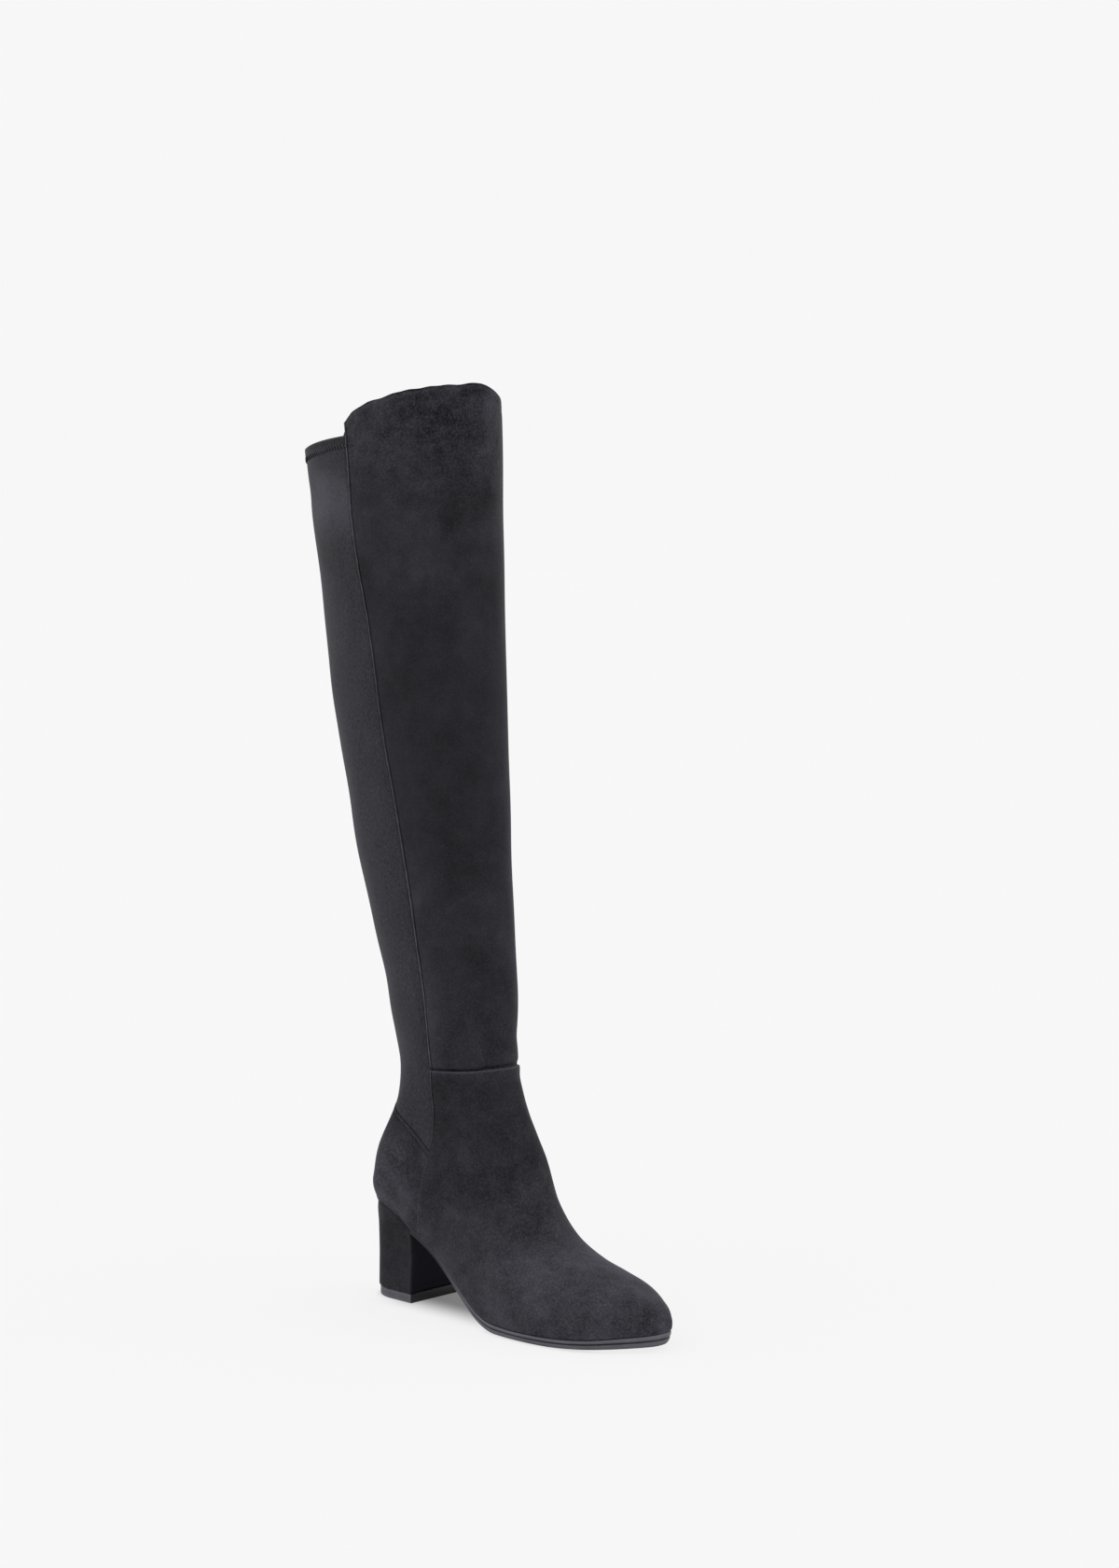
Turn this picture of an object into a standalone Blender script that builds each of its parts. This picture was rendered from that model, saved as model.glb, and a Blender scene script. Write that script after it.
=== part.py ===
"""A right over-the-knee boot with a covered block heel, standing empty.

The axes: X runs to the toe, Y to the wearer's left, which is the inner side of this boot, and Z up. The
origin is the middle of the heel's ground face. Sizes and tables are in millimetres, and a mesh is scaled to
metres when it is made.
"""

import bmesh
import bpy
import numpy as np

MM = 0.001
GAP = 0.3  # between pieces that touch on the real boot
CLEAR = 140.0  # reach of a cutter that runs past the boot's sides, and its height above the collar
CLEAR_TOP = 700.0

# Driving sizes
FOOT_LENGTH = 239.2  # along the feather line, where the upper meets the sole
BALL_WIDTH = 77.0
HEEL_BACK = -20.0  # X of the feather line's back end
TOE_SWING = 8.0  # how far the toe tip lies to the inner side
BREAST_TOP = 25.0  # X of the heel's front face, at its top and at its foot
BREAST_FOOT = 22.2

UPPER_WALL = 2.0
MARGIN = 9.0  # the upper's edge, turned under and lasted
PANEL_WALL = 1.4
INSOLE_THICK = 2.6
INSOLE_PLAY = 1.5  # between the insole's edge and the inside of the upper
FILLER_PLAY = 2.0  # between the filler under the insole and the turned edge
FILLER_LEAST = 9.0  # the filler ends where its half-width falls below this

TOP_PIECE_THICK = 6.0
TOP_PIECE_INSET = 0.8  # how far the rubber stands inside the covered heel, at the back and the sides
HEEL_FOOT_LENGTH = 42.8
HEEL_FOOT_WIDTH = 46.0
HEEL_SEAT_OUT = 0.6  # how far the heel's top stands out behind the feather line
HEEL_STEPS = 14  # mesh columns from the breast to the back
HEEL_FLAT = 0.46  # share of the heel's length over which its sides run straight
HEEL_CURVE = 2.2  # exponent of the rounded back

# The feather line from above: along it as a share of the foot's length, from the heel, and the half-widths to
# the outer and the inner side as a share of the ball's width, before the two ends are rounded.
OUTLINE = (
    # along, outer, inner
    (0.00, 0.325, 0.325),
    (0.10, 0.330, 0.330),
    (0.20, 0.345, 0.325),
    (0.30, 0.352, 0.290),
    (0.40, 0.392, 0.295),
    (0.50, 0.455, 0.365),
    (0.60, 0.498, 0.458),
    (0.70, 0.502, 0.498),
    (0.80, 0.455, 0.462),
    (0.90, 0.370, 0.372),
    (1.00, 0.275, 0.275),
)
HEEL_ROUND = (0.10, 2.1)  # where the rounding starts, along the foot, and its exponent
TOE_ROUND = (0.77, 2.3)

# One row for each section of the boot. Each section is a plane across the boot: upright at the toe, leaning at
# the instep and level in the shaft. low is its end on the sole or the back, high its end on the ridge or the
# shin; outer and inner are its greatest half-widths, lying at the share widest of its height; high_round and
# low_round are the exponents of its two ends. Rows with on_sole 1 have their low end on the feather line.
SECTIONS = (
    # low_x, low_z, high_x, high_z, outer, inner, widest, high_round, low_round, on_sole
    (219.2, 12.0, 219.2, 12.0, 0.0, 0.0, 0.40, 2.1, 2.0, 1),
    (218.0, 11.8, 217.6, 20.0, 7.5, 7.5, 0.38, 2.1, 2.0, 1),
    (212.4, 11.0, 211.4, 27.0, 14.8, 14.8, 0.36, 2.1, 2.0, 1),
    (201.6, 9.5, 200.4, 32.6, 23.4, 23.6, 0.34, 2.1, 2.0, 1),
    (186.0, 7.4, 185.4, 38.2, 33.0, 33.4, 0.32, 2.1, 2.0, 1),
    (167.0, 6.0, 167.4, 43.2, 38.8, 39.0, 0.30, 2.1, 2.0, 1),
    (146.0, 5.6, 149.0, 50.2, 41.6, 41.0, 0.28, 2.0, 2.0, 1),
    (124.0, 5.6, 130.4, 64.6, 41.5, 38.8, 0.27, 1.9, 2.0, 1),
    (103.0, 7.4, 116.4, 90.2, 38.6, 35.5, 0.28, 1.8, 2.0, 1),
    (83.0, 15.8, 110.4, 117.0, 35.2, 33.2, 0.31, 1.8, 2.0, 1),
    (62.0, 29.4, 99.6, 138.0, 32.8, 31.6, 0.35, 1.8, 2.0, 1),
    (40.0, 43.4, 93.8, 152.0, 31.0, 30.6, 0.40, 1.9, 2.0, 1),
    (18.0, 52.6, 92.2, 160.5, 30.0, 29.6, 0.44, 1.9, 2.0, 1),
    (-2.0, 57.0, 91.6, 166.0, 29.4, 29.2, 0.47, 2.0, 2.0, 1),
    (-14.0, 59.2, 92.0, 170.0, 29.2, 29.0, 0.49, 2.0, 2.0, 1),
    (-20.0, 60.6, 91.8, 174.0, 29.2, 29.0, 0.50, 2.0, 2.0, 1),
    (-21.0, 76.0, 91.0, 184.0, 29.4, 29.2, 0.50, 2.0, 2.0, 0),
    (-18.4, 92.0, 90.4, 193.0, 30.0, 29.8, 0.50, 2.0, 2.0, 0),
    (-8.2, 112.0, 89.4, 204.0, 31.2, 31.0, 0.50, 2.0, 2.0, 0),
    (-1.0, 131.0, 87.8, 214.0, 32.4, 32.4, 0.50, 2.0, 2.0, 0),
    (1.0, 149.0, 86.2, 225.0, 33.2, 33.2, 0.50, 2.0, 2.0, 0),
    (-4.8, 172.0, 84.6, 240.0, 34.5, 34.5, 0.50, 2.0, 2.0, 0),
    (-11.2, 203.0, 82.6, 260.0, 36.3, 36.3, 0.50, 2.0, 2.0, 0),
    (-22.6, 241.0, 80.6, 284.0, 38.5, 38.5, 0.50, 2.0, 2.0, 0),
    (-38.0, 290.0, 79.2, 318.0, 41.3, 41.3, 0.50, 2.0, 2.0, 0),
    (-52.0, 350.0, 75.6, 366.0, 44.0, 44.0, 0.50, 2.0, 2.0, 0),
    (-65.2, 418.0, 72.4, 424.0, 47.0, 47.0, 0.50, 2.0, 2.0, 0),
    (-80.0, 505.0, 69.8, 505.0, 50.5, 50.5, 0.50, 2.0, 2.0, 0),
    (-91.6, 590.0, 67.0, 590.0, 52.6, 52.6, 0.50, 2.0, 2.0, 0),
    (-95.0, 625.0, 64.0, 625.0, 53.0, 53.0, 0.50, 2.0, 2.0, 0),
)
ROW_SPACING = (
    # place along the rows, from the toe tip; distance to the next mesh row
    (0.0, 2.5), (14.0, 5.0), (40.0, 10.0), (205.0, 11.0), (226.0, 3.0), (235.0, 1.3), (243.0, 1.6), (258.0, 9.0),
    (420.0, 16.0), (520.0, 32.0),
)
SIDE_STEPS = 14  # mesh columns from the feather line or the back to the ridge
HEEL_FADE = 50.0  # over which the foot's outline fades out of the sections above the heel
TOE_INSET = 1.6  # how far a skin's first rows start behind the toe tip, for each millimetre of its depth

# The side seam between the suede front and the stretch back, from the side: the same on both sides.
SEAM = (
    # z, x
    (50.0, 39.5),
    (84.0, 42.0),
    (105.0, 46.0),
    (125.0, 48.6),
    (149.0, 49.2),
    (196.0, 46.6),
    (238.0, 41.8),
    (300.0, 31.4),
    (425.0, 9.8),
    (505.0, -5.0),
    (590.0, -15.0),
    (640.0, -20.0),
)
V_FOOT = 105.0  # height of the V seam at the side seams
V_TOP = 127.0  # its height at the back, up to X of V_BACK
V_BACK = 2.0

# The collar from the side: X and Z of the suede's folded top edge, from the seam to the front.
COLLAR = (
    # x, z
    (-14.5, 560.0),
    (-13.5, 569.5),
    (-10.0, 575.4),
    (-3.0, 581.0),
    (10.0, 587.4),
    (30.0, 593.6),
    (50.0, 598.2),
    (70.0, 602.0),
    (90.0, 605.4),
)
COLLAR_LEAN = 3.5  # degrees that the collar drops to the inner side
COLLAR_LEVEL = 600.0  # height of the line that it leans about
PANEL_TOP = ((-CLEAR, 554.5), (-80.0, 559.2), (-62.0, 562.0), (-31.0, 566.0), (-11.5, 568.0))

# The sole: thickness, and how far its edge stands outside the feather line
SOLE = (
    # x, thick, edge
    (25.0, 2.6, -0.6),
    (60.0, 3.0, -0.2),
    (92.0, 4.6, 0.6),
    (112.0, 5.5, 1.0),
    (190.0, 5.6, 1.0),
    (219.2, 5.6, 0.3),
)
SOLE_BEVEL = 0.9

# The zip in the inner side seam
ZIP_FOOT = 72.0
ZIP_TOP = 287.0
SLOT_WIDTH = 5.2
CHAIN_WIDTH = 4.4
TAPE_WIDTH = 24.0
CHAIN_DEPTHS = (0.2, 2.0)
TAPE_DEPTHS = (2.35, 2.95)
ZIP_STEPS = 20
SLIDER_Z = 279.0
SLIDER_LENGTH = 11.0
SLIDER_WIDTH = 8.6
PLATE_OUT = (0.35, 1.45)  # height of the slider's outer plate above the suede
PLATE_IN = (-4.2, -3.2)
DIVIDER = (1.8, 4.4)  # along the seam, above the slider's middle
DIVIDER_WIDTH = 2.2
BAIL_HALF = 2.4
BAIL_THICK = 1.1
BAIL_WIDTH = 1.8
BAIL_RISE = 1.95  # inside the bail
PULL_LENGTH = 22.5
PULL_WIDTH = 6.0
PULL_THICK = 1.1
WINDOW_LENGTH = 7.4
WINDOW_WIDTH = 3.2
BAR = 1.2  # the pull's crossbar inside the bail

MATERIALS = {
    # name: (colour, roughness, metallic)
    "suede": ((0.024, 0.024, 0.028), 0.9, 0.0),
    "stretch": ((0.034, 0.034, 0.038), 0.75, 0.0),
    "rubber": ((0.012, 0.012, 0.013), 0.55, 0.0),
    "board": ((0.05, 0.048, 0.046), 0.85, 0.0),
    "tape": ((0.015, 0.015, 0.017), 0.9, 0.0),
    "dark_metal": ((0.12, 0.12, 0.13), 0.35, 1.0),
}


def smooth_curve(knots, values):
    """A smooth curve through the values at the knots, as a function of the knot's place."""
    knots = np.asarray(knots, float)
    values = np.asarray(values, float)
    steps = np.diff(knots)
    rises = (np.diff(values, axis=0).T / steps).T
    slopes = np.empty_like(values)
    slopes[1:-1] = (((rises[:-1].T * steps[1:]) + (rises[1:].T * steps[:-1])) / (steps[1:] + steps[:-1])).T
    slopes[0] = rises[0] + (rises[0] - rises[1]) * steps[0] / (steps[0] + steps[1])
    slopes[-1] = rises[-1]

    def at(place):
        place = np.asarray(place, float)
        i = np.clip(np.searchsorted(knots, place, side="right") - 1, 0, len(steps) - 1)
        h, t = steps[i], (place - knots[i]) / steps[i]
        if values.ndim > 1:
            h, t = h[..., None], t[..., None]
        return (
            (1 + 2 * t) * (1 - t) ** 2 * values[i]
            + t * (1 - t) ** 2 * h * slopes[i]
            + t * t * (3 - 2 * t) * values[i + 1]
            + t * t * (t - 1) * h * slopes[i + 1]
        )

    return at


def columns(table):
    return np.array(table, float).T


along, outer, inner = columns(OUTLINE)
outline_curve = smooth_curve(along, np.stack([outer, inner], axis=1) * BALL_WIDTH)


def rounding(share, exponent):
    return (1 - np.clip(share, 0, 1) ** exponent) ** (1 / exponent)


def feather(x):
    """Half-widths of the feather line at x, to the outer and the inner side of the foot's middle line."""
    share = (x - HEEL_BACK) / FOOT_LENGTH
    heel_start, heel_exponent = HEEL_ROUND
    toe_start, toe_exponent = TOE_ROUND
    ends = rounding((heel_start - share) / heel_start, heel_exponent)
    ends *= rounding((share - toe_start) / (1 - toe_start), toe_exponent)
    return outline_curve(np.clip(share, 0, 1)) * np.asarray(ends)[..., None]


def middle(x):
    """Y of the foot's middle line, which swings to the inner side towards the toe."""
    return TOE_SWING * max(0.0, (x - 60) / (HEEL_BACK + FOOT_LENGTH - 60)) ** 2


def offset_feather(offset_at):
    """The feather line moved out by offset_at(x), as a function like feather; its ends are x_low and x_high."""
    share = (1 - np.cos(np.linspace(0, np.pi, 241))) / 2
    xs = HEEL_BACK + FOOT_LENGTH * share
    sides = []
    for side, sign in ((0, -1), (1, 1)):
        ys = np.array([middle(x) + sign * feather(x)[side] for x in xs])
        dx, dy = np.gradient(xs), np.gradient(ys)
        length = np.hypot(dx, dy)
        offset = np.array([offset_at(x) for x in xs])
        sides.append((xs - sign * offset * dy / length, ys + sign * offset * dx / length, sign))
    low = min(sides[0][0][0], sides[1][0][0])
    high = max(sides[0][0][-1], sides[1][0][-1])

    def at(x):
        if not low < x < high:
            return np.zeros(2)
        return np.array([
            max(0.0, sign * (np.interp(x, moved_x, moved_y) - middle(x))) for moved_x, moved_y, sign in sides
        ])

    return at, low, high


section_rows = np.array(SECTIONS, float)
low_steps = np.hypot(np.diff(section_rows[:, 0]), np.diff(section_rows[:, 1]))
high_steps = np.hypot(np.diff(section_rows[:, 2]), np.diff(section_rows[:, 3]))
section_places = np.concatenate([[0], np.cumsum((low_steps + high_steps) / 2)])
section_curve = smooth_curve(section_places, section_rows[:, :9])
last_on_sole = section_places[int(section_rows[:, 9].sum()) - 1]


def direction(place, first_column):
    """The way along the low or the high curve at a place, taken over a few millimetres each side."""
    before, after = (section_curve(max(place + step, 0.0))[first_column:first_column + 2] for step in (-5, 5))
    return (after - before) / np.linalg.norm(after - before)


def spread(function, place, step):
    """How much more than its depth a skin moves in across the boot, where the boot narrows."""
    change = (function(place + step) - function(max(place - step, 0.0))) / (2 * step)
    return np.minimum(np.hypot(1.0, change), 2.2)


class Section:
    """The boot's section plane at a place, from 0 at the toe tip to the last of section_places at the top.

    It belongs to a skin at a depth below the outer surface.
    """

    def __init__(self, place, depth=0.0):
        row = section_curve(place)
        self.low, self.high = row[0:2].copy(), row[2:4].copy()
        self.widest, self.high_round, self.low_round = row[6:9]
        self.on_sole = place <= last_on_sole
        self.shift = 0.0 if self.on_sole else HEEL_BACK - self.low[0]
        self.foot_share = float(np.interp(place, (last_on_sole, last_on_sole + HEEL_FADE), (1, 0)))
        self.feather = feather(self.low[0]) if self.on_sole else np.zeros(2)
        self.widths = np.maximum(row[4:6], self.feather + 0.6)
        self.middle = middle(self.low[0])
        self.depth = depth
        if depth:
            along_low, along_high = direction(place, 0), direction(place, 2)
            self.low += depth * np.array([along_low[1], -along_low[0]])
            self.high += depth * np.array([-along_high[1], along_high[0]])
            self.widths = self.widths - depth * spread(lambda at: section_curve(at)[4:6], place, 3)
            if self.on_sole:
                narrower = depth * spread(feather, row[0], 1)
                self.feather = np.clip(self.feather - narrower, 0, self.widths - 0.4)
        self.length = max(float(np.hypot(*(self.high - self.low))), 1e-6)

    def point(self, reach, half_width, side):
        x, z = self.low + (self.high - self.low) * (reach / self.length)
        return np.array([x, self.middle + side * half_width, z])

    def low_half_width(self, reach, fullness, side):
        """Half-width below the widest place: the foot's outline there, swelling to the section's full width."""
        index = (side + 1) // 2
        x = self.low[0] + (self.high[0] - self.low[0]) * reach / self.length + self.shift
        outline = np.maximum(feather(x)[..., index] - self.depth, 0.0) * self.foot_share
        swell = np.minimum(outline, self.widths[index]) * (1 - fullness)
        return np.maximum(swell, self.feather[index] * (1 - fullness)) + self.widths[index] * fullness

    def side_curve(self, side, steps):
        """Points from the feather line or the back to the ridge, evenly spaced; side is -1 outer, 1 inner."""
        wide = self.widths[(side + 1) // 2]
        reach_wide = self.widest * self.length
        turn = np.linspace(np.pi / 2, 0, 40)
        low_r = reach_wide * (1 - np.sin(turn) ** (2 / self.low_round))
        low_y = self.low_half_width(low_r, np.cos(turn) ** (2 / self.low_round), side)
        turn = np.linspace(0, np.pi / 2, 60)[1:]
        high_y = wide * np.cos(turn) ** (2 / self.high_round)
        high_r = reach_wide + (self.length - reach_wide) * np.sin(turn) ** (2 / self.high_round)
        ys, rs = np.concatenate([low_y, high_y]), np.concatenate([low_r, high_r])
        walked = np.concatenate([[0], np.cumsum(np.hypot(np.diff(ys), np.diff(rs)))])
        even = np.linspace(0, walked[-1], steps + 1)
        return [
            self.point(r, y, side) for r, y in zip(np.interp(even, walked, rs), np.interp(even, walked, ys))
        ]

    def half_width(self, reach, side):
        wide = self.widths[(side + 1) // 2]
        reach_wide = self.widest * self.length
        if reach < reach_wide:
            fall = min((reach_wide - reach) / reach_wide, 1.0)
            fullness = (1 - fall**self.low_round) ** (1 / self.low_round)
            return float(self.low_half_width(np.float64(reach), fullness, side))
        rise = min((reach - reach_wide) / (self.length - reach_wide), 1.0)
        return wide * (1 - rise**self.high_round) ** (1 / self.high_round)


def side_y(x, z, side):
    """Y of the boot's outer surface at a point seen from the side."""
    low, high = 5.0, section_places[-1]
    for _ in range(40):
        place = (low + high) / 2
        section = Section(place)
        across = section.high - section.low
        towards = np.array([x, z]) - section.low
        if across[0] * towards[1] - across[1] * towards[0] > 0:
            low = place
        else:
            high = place
    return section.middle + side * section.half_width(float(towards @ across) / section.length, side)


def side_frame(x, z, side):
    """A point on the outer surface and the surface's normal there."""
    step = 1.0
    slope_x = (side_y(x + step, z, side) - side_y(x - step, z, side)) / (2 * step)
    slope_z = (side_y(x, z + step, side) - side_y(x, z - step, side)) / (2 * step)
    normal = side * np.array([-slope_x, 1.0, -slope_z])
    return np.array([x, side_y(x, z, side), z]), normal / np.linalg.norm(normal)


def wall_rows(first, last):
    """Places of the wall's mesh rows between two places, closer at the toe than in the shaft."""
    starts, spacings = columns(ROW_SPACING)
    places = [first]
    spacing = np.interp(first, starts, spacings)
    while places[-1] + 1.5 * spacing < last:
        places.append(places[-1] + spacing)
        spacing = np.interp(places[-1], starts, spacings)
    return places + [last]


seam_x = smooth_curve(*columns(SEAM))
sole_rows = wall_rows(0.0, last_on_sole)
sole_line_x, sole_line_z = np.array([section_curve(place)[:2] for place in sole_rows])[::-1].T


def sole_line(x, lift=0.0):
    """Height above the feather line of a surface lifted square to it, in the straight steps of the mesh rows."""
    slope = (np.interp(x + 4, sole_line_x, sole_line_z) - np.interp(x - 4, sole_line_x, sole_line_z)) / 8
    return float(np.interp(x, sole_line_x, sole_line_z)) + lift * float(np.hypot(1, slope))


def along_sole(low, high):
    """Stations along the sole at the wall's mesh rows, with the two ends."""
    return [low] + [x for x in sole_line_x if low + 0.6 < x < high - 0.6] + [high]


def material(name):
    colour, roughness, metallic = MATERIALS[name]
    made = bpy.data.materials.get(name) or bpy.data.materials.new(name)
    made.use_nodes = True
    made.diffuse_color = (*colour, 1)
    shader = made.node_tree.nodes["Principled BSDF"]
    shader.inputs["Base Color"].default_value = (*colour, 1)
    shader.inputs["Roughness"].default_value = roughness
    shader.inputs["Metallic"].default_value = metallic
    return made


def mesh_object(name, vertices, faces, finish=None):
    mesh = bpy.data.meshes.new(name)
    mesh.from_pydata([tuple(MM * float(c) for c in vertex) for vertex in vertices], [], faces)
    edit = bmesh.new()
    edit.from_mesh(mesh)
    bmesh.ops.remove_doubles(edit, verts=edit.verts, dist=0.02 * MM)
    bmesh.ops.recalc_face_normals(edit, faces=edit.faces)
    edit.to_mesh(mesh)
    edit.free()
    mesh.shade_smooth()
    mesh.set_sharp_from_angle(angle=0.7)
    made = bpy.data.objects.new(name, mesh)
    bpy.context.scene.collection.objects.link(made)
    if finish:
        mesh.materials.append(material(finish))
    else:
        made.hide_render = True
        made.display_type = "WIRE"
    return made


def lofted(name, loops, finish=None, caps=(True, True)):
    """A closed body through loops of equal length."""
    size = len(loops[0])
    vertices = [point for loop in loops for point in loop]
    faces = []
    for k in range(len(loops) - 1):
        for j in range(size):
            after = (j + 1) % size
            faces.append((k * size + j, k * size + after, (k + 1) * size + after, (k + 1) * size + j))
    if caps[0]:
        faces.append(tuple(range(size)))
    if caps[1]:
        faces.append(tuple(range((len(loops) - 1) * size, len(loops) * size)))
    return mesh_object(name, vertices, faces, finish)


def across_boot(name, outline, low_y, high_y, finish=None):
    """A body with an outline seen from the side, running across the boot."""
    loops = [[(x, y, z) for x, z in outline] for y in (low_y, high_y)]
    return lofted(name, loops, finish)


def boolean(target, cutter, operation):
    cut = target.modifiers.new(operation.lower(), "BOOLEAN")
    cut.operation = operation
    cut.object = cutter


def shell(name, finish, first, depth, wall):
    """The boot's wall from a place to the top, between two skins, with its lower edge turned under."""
    margin, _, _ = offset_feather(lambda x: -MARGIN)
    places = [place for place in sole_rows if place >= first] + wall_rows(last_on_sole, section_places[-1])[1:]
    turned = [margin(Section(place).low[0]) if place <= last_on_sole else np.zeros(2) for place in places]
    vertices = []
    for skin in (depth, depth + wall):
        for place, edge in zip(places, turned):
            inward = TOE_INSET * skin * max(0.0, 1 - place / 40)
            section = Section(place + inward, skin)
            outer_side = section.side_curve(-1, SIDE_STEPS)
            inner_side = section.side_curve(1, SIDE_STEPS)
            row = [section.point(0, edge[0], -1)] + outer_side + inner_side[-2::-1]
            row.append(section.point(0, edge[1], 1))
            if place == 0.0:
                row = [sum(row) / len(row)] * len(row)
            vertices += row
    size, count = len(row), len(places)
    inside = size * count
    faces = []
    for k in range(count - 1):
        for j in range(size - 1):
            a, b = k * size + j, (k + 1) * size + j
            faces.append((a, a + 1, b + 1, b))
            faces.append((inside + b, inside + b + 1, inside + a + 1, inside + a))
        if max(turned[k].max(), turned[k + 1].max()) > 0:
            a, b = k * size, (k + 1) * size
            faces.append((a, b, inside + b, inside + a))
            a, b = a + size - 1, b + size - 1
            faces.append((b, a, inside + a, inside + b))
    for k in (0, count - 1) if first else (count - 1,):
        for j in range(size - 1):
            a = k * size + j
            faces.append((a, a + 1, inside + a + 1, inside + a))
    return mesh_object(name, vertices, faces, finish)


def panel_outline(gap):
    """The stretch panel from the side, drawn in by a gap along the side seam and above the V seam."""
    heights = np.linspace(V_FOOT, PANEL_TOP[-1][1], 22)
    front = [(seam_x(z) - gap, z) for z in heights]
    front[0] = (front[0][0], V_FOOT + gap)
    return [(V_BACK, V_TOP + gap)] + front, (-CLEAR, V_TOP + gap)


def panel_cutter():
    """What the upper leaves free for the stretch panel; it runs on past the collar."""
    edge, corner = panel_outline(0.0)
    seam_end = SEAM[-1][0]
    top = [(seam_x(seam_end), seam_end), (-CLEAR, seam_end)]
    return across_boot("cut_back", edge + top + [corner], -CLEAR, CLEAR)


def panel_keeper():
    edge, corner = panel_outline(GAP)
    top = [(x, z) for x, z in reversed(PANEL_TOP) if x < edge[-1][0]]
    return across_boot("keep_back", edge + top + [corner], -CLEAR, CLEAR)


def slot_outline(width):
    heights = np.linspace(ZIP_FOOT, ZIP_TOP, 14)
    return [(seam_x(z) - width / 2, z) for z in heights] + [(seam_x(z) + width / 2, z) for z in heights[::-1]]


def make_upper():
    upper = shell("upper", "suede", 0.0, 0.0, UPPER_WALL)
    boolean(upper, panel_cutter(), "DIFFERENCE")
    start, end = COLLAR[0], COLLAR[-1]
    above = [*COLLAR, (CLEAR, end[1]), (CLEAR, CLEAR_TOP), (-CLEAR, CLEAR_TOP), (-CLEAR, start[1])]
    collar_cutter = across_boot("cut_collar", above, -CLEAR, CLEAR)
    lean = np.radians(COLLAR_LEAN)
    collar_cutter.rotation_euler.x = -lean
    collar_cutter.location.y = -COLLAR_LEVEL * MM * np.sin(lean)
    collar_cutter.location.z = COLLAR_LEVEL * MM * (1 - np.cos(lean))
    boolean(upper, collar_cutter, "DIFFERENCE")
    return upper


def make_back_panel():
    panel = shell("back_panel", "stretch", section_places[12], GAP, PANEL_WALL)
    boolean(panel, panel_keeper(), "INTERSECT")
    return panel


def sole_loop(x, widths, top, bottom, bevel):
    y0, y1 = middle(x) - widths[0], middle(x) + widths[1]
    bevel = min(bevel, (y1 - y0) / 5)
    inset = [y0, y0 + bevel, (y0 + y1) / 2, y1 - bevel, y1]
    upper = [top - bevel, top, top, top, top - bevel]
    lower = [bottom + bevel, bottom, bottom, bottom, bottom + bevel]
    return [(x, y, z) for y, z in zip(inset, upper)] + [(x, y, z) for y, z in zip(inset[::-1], lower)]


def make_outsole():
    xs, thicks, edges = columns(SOLE)
    thickness = smooth_curve(xs, thicks)
    widths, _, tip = offset_feather(lambda x: float(np.interp(x, xs, edges)))
    loops = []
    for x in along_sole(BREAST_TOP + GAP, tip - 0.05):
        top = sole_line(x, -GAP)
        bottom = max(0.0, top - float(thickness(min(x, xs[-1]))))
        loops.append(sole_loop(x, np.maximum(widths(x), 0.5), top, bottom, SOLE_BEVEL))
    return lofted("outsole", loops, "rubber")


def make_insole():
    """The insole board, resting on the turned edge of the upper, with its middle filled down to the sole."""
    widths, back, tip = offset_feather(lambda x: -UPPER_WALL - INSOLE_PLAY)
    filler, _, _ = offset_feather(lambda x: -MARGIN - FILLER_PLAY)
    loops = []
    for x in along_sole(back + 0.1, tip - 0.1):
        rest = sole_line(x, UPPER_WALL + GAP)
        wide = np.maximum(widths(x), 0.4)
        if min(filler(x)) > FILLER_LEAST:
            core, low = filler(x), sole_line(x, GAP)
        else:
            core, low = wide / 2, rest
        y0, y1 = middle(x) - wide[0], middle(x) + wide[1]
        c0, c1 = middle(x) - core[0], middle(x) + core[1]
        top = sole_line(x, UPPER_WALL + GAP + INSOLE_THICK)
        loops.append([
            (x, y0, top), (x, middle(x), top), (x, y1, top), (x, y1, rest), (x, c1, rest),
            (x, c1 - 0.2, low), (x, c0 + 0.2, low), (x, c0, rest), (x, y0, rest),
        ])
    return lofted("insole", loops, "board")


def heel_half_width(share, wide):
    """Half-width of the heel's D outline at a share of its length, from the breast to the back."""
    return wide * rounding((share - HEEL_FLAT) / (1 - HEEL_FLAT), HEEL_CURVE)


def heel_loops(levels):
    """Loops from the breast to the back; a level is (z of x, breast x, back x, half-width)."""
    loops = []
    for share in np.sin(np.linspace(0, np.pi / 2, HEEL_STEPS + 1)):
        side = []
        for height, breast, back, wide in levels:
            x = breast + (back - breast) * share
            side.append((x, heel_half_width(share, wide), height(x)))
        loops.append([(x, -y, z) for x, y, z in side] + [(x, y, z) for x, y, z in side[::-1]])
    return loops


def make_heel():
    foot_back = BREAST_FOOT - HEEL_FOOT_LENGTH
    foot_half = HEEL_FOOT_WIDTH / 2
    top_half = feather(10.0).mean() - 0.4
    floor = TOP_PIECE_THICK + GAP
    levels = [
        (lambda x: floor, BREAST_FOOT, foot_back + 0.6, foot_half - 0.5),
        (lambda x: floor + 1.6, BREAST_FOOT, foot_back, foot_half),
        (lambda x: floor + 0.45 * (sole_line(x) - floor), BREAST_FOOT + 1.2, foot_back - 0.1, foot_half),
        (lambda x: sole_line(x) - 5, BREAST_TOP - 0.2, HEEL_BACK - HEEL_SEAT_OUT, top_half - 0.4),
        (lambda x: sole_line(x, -GAP), BREAST_TOP, HEEL_BACK - HEEL_SEAT_OUT / 2, top_half),
    ]
    return lofted("heel", heel_loops(levels), "suede", caps=(True, False))


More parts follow.
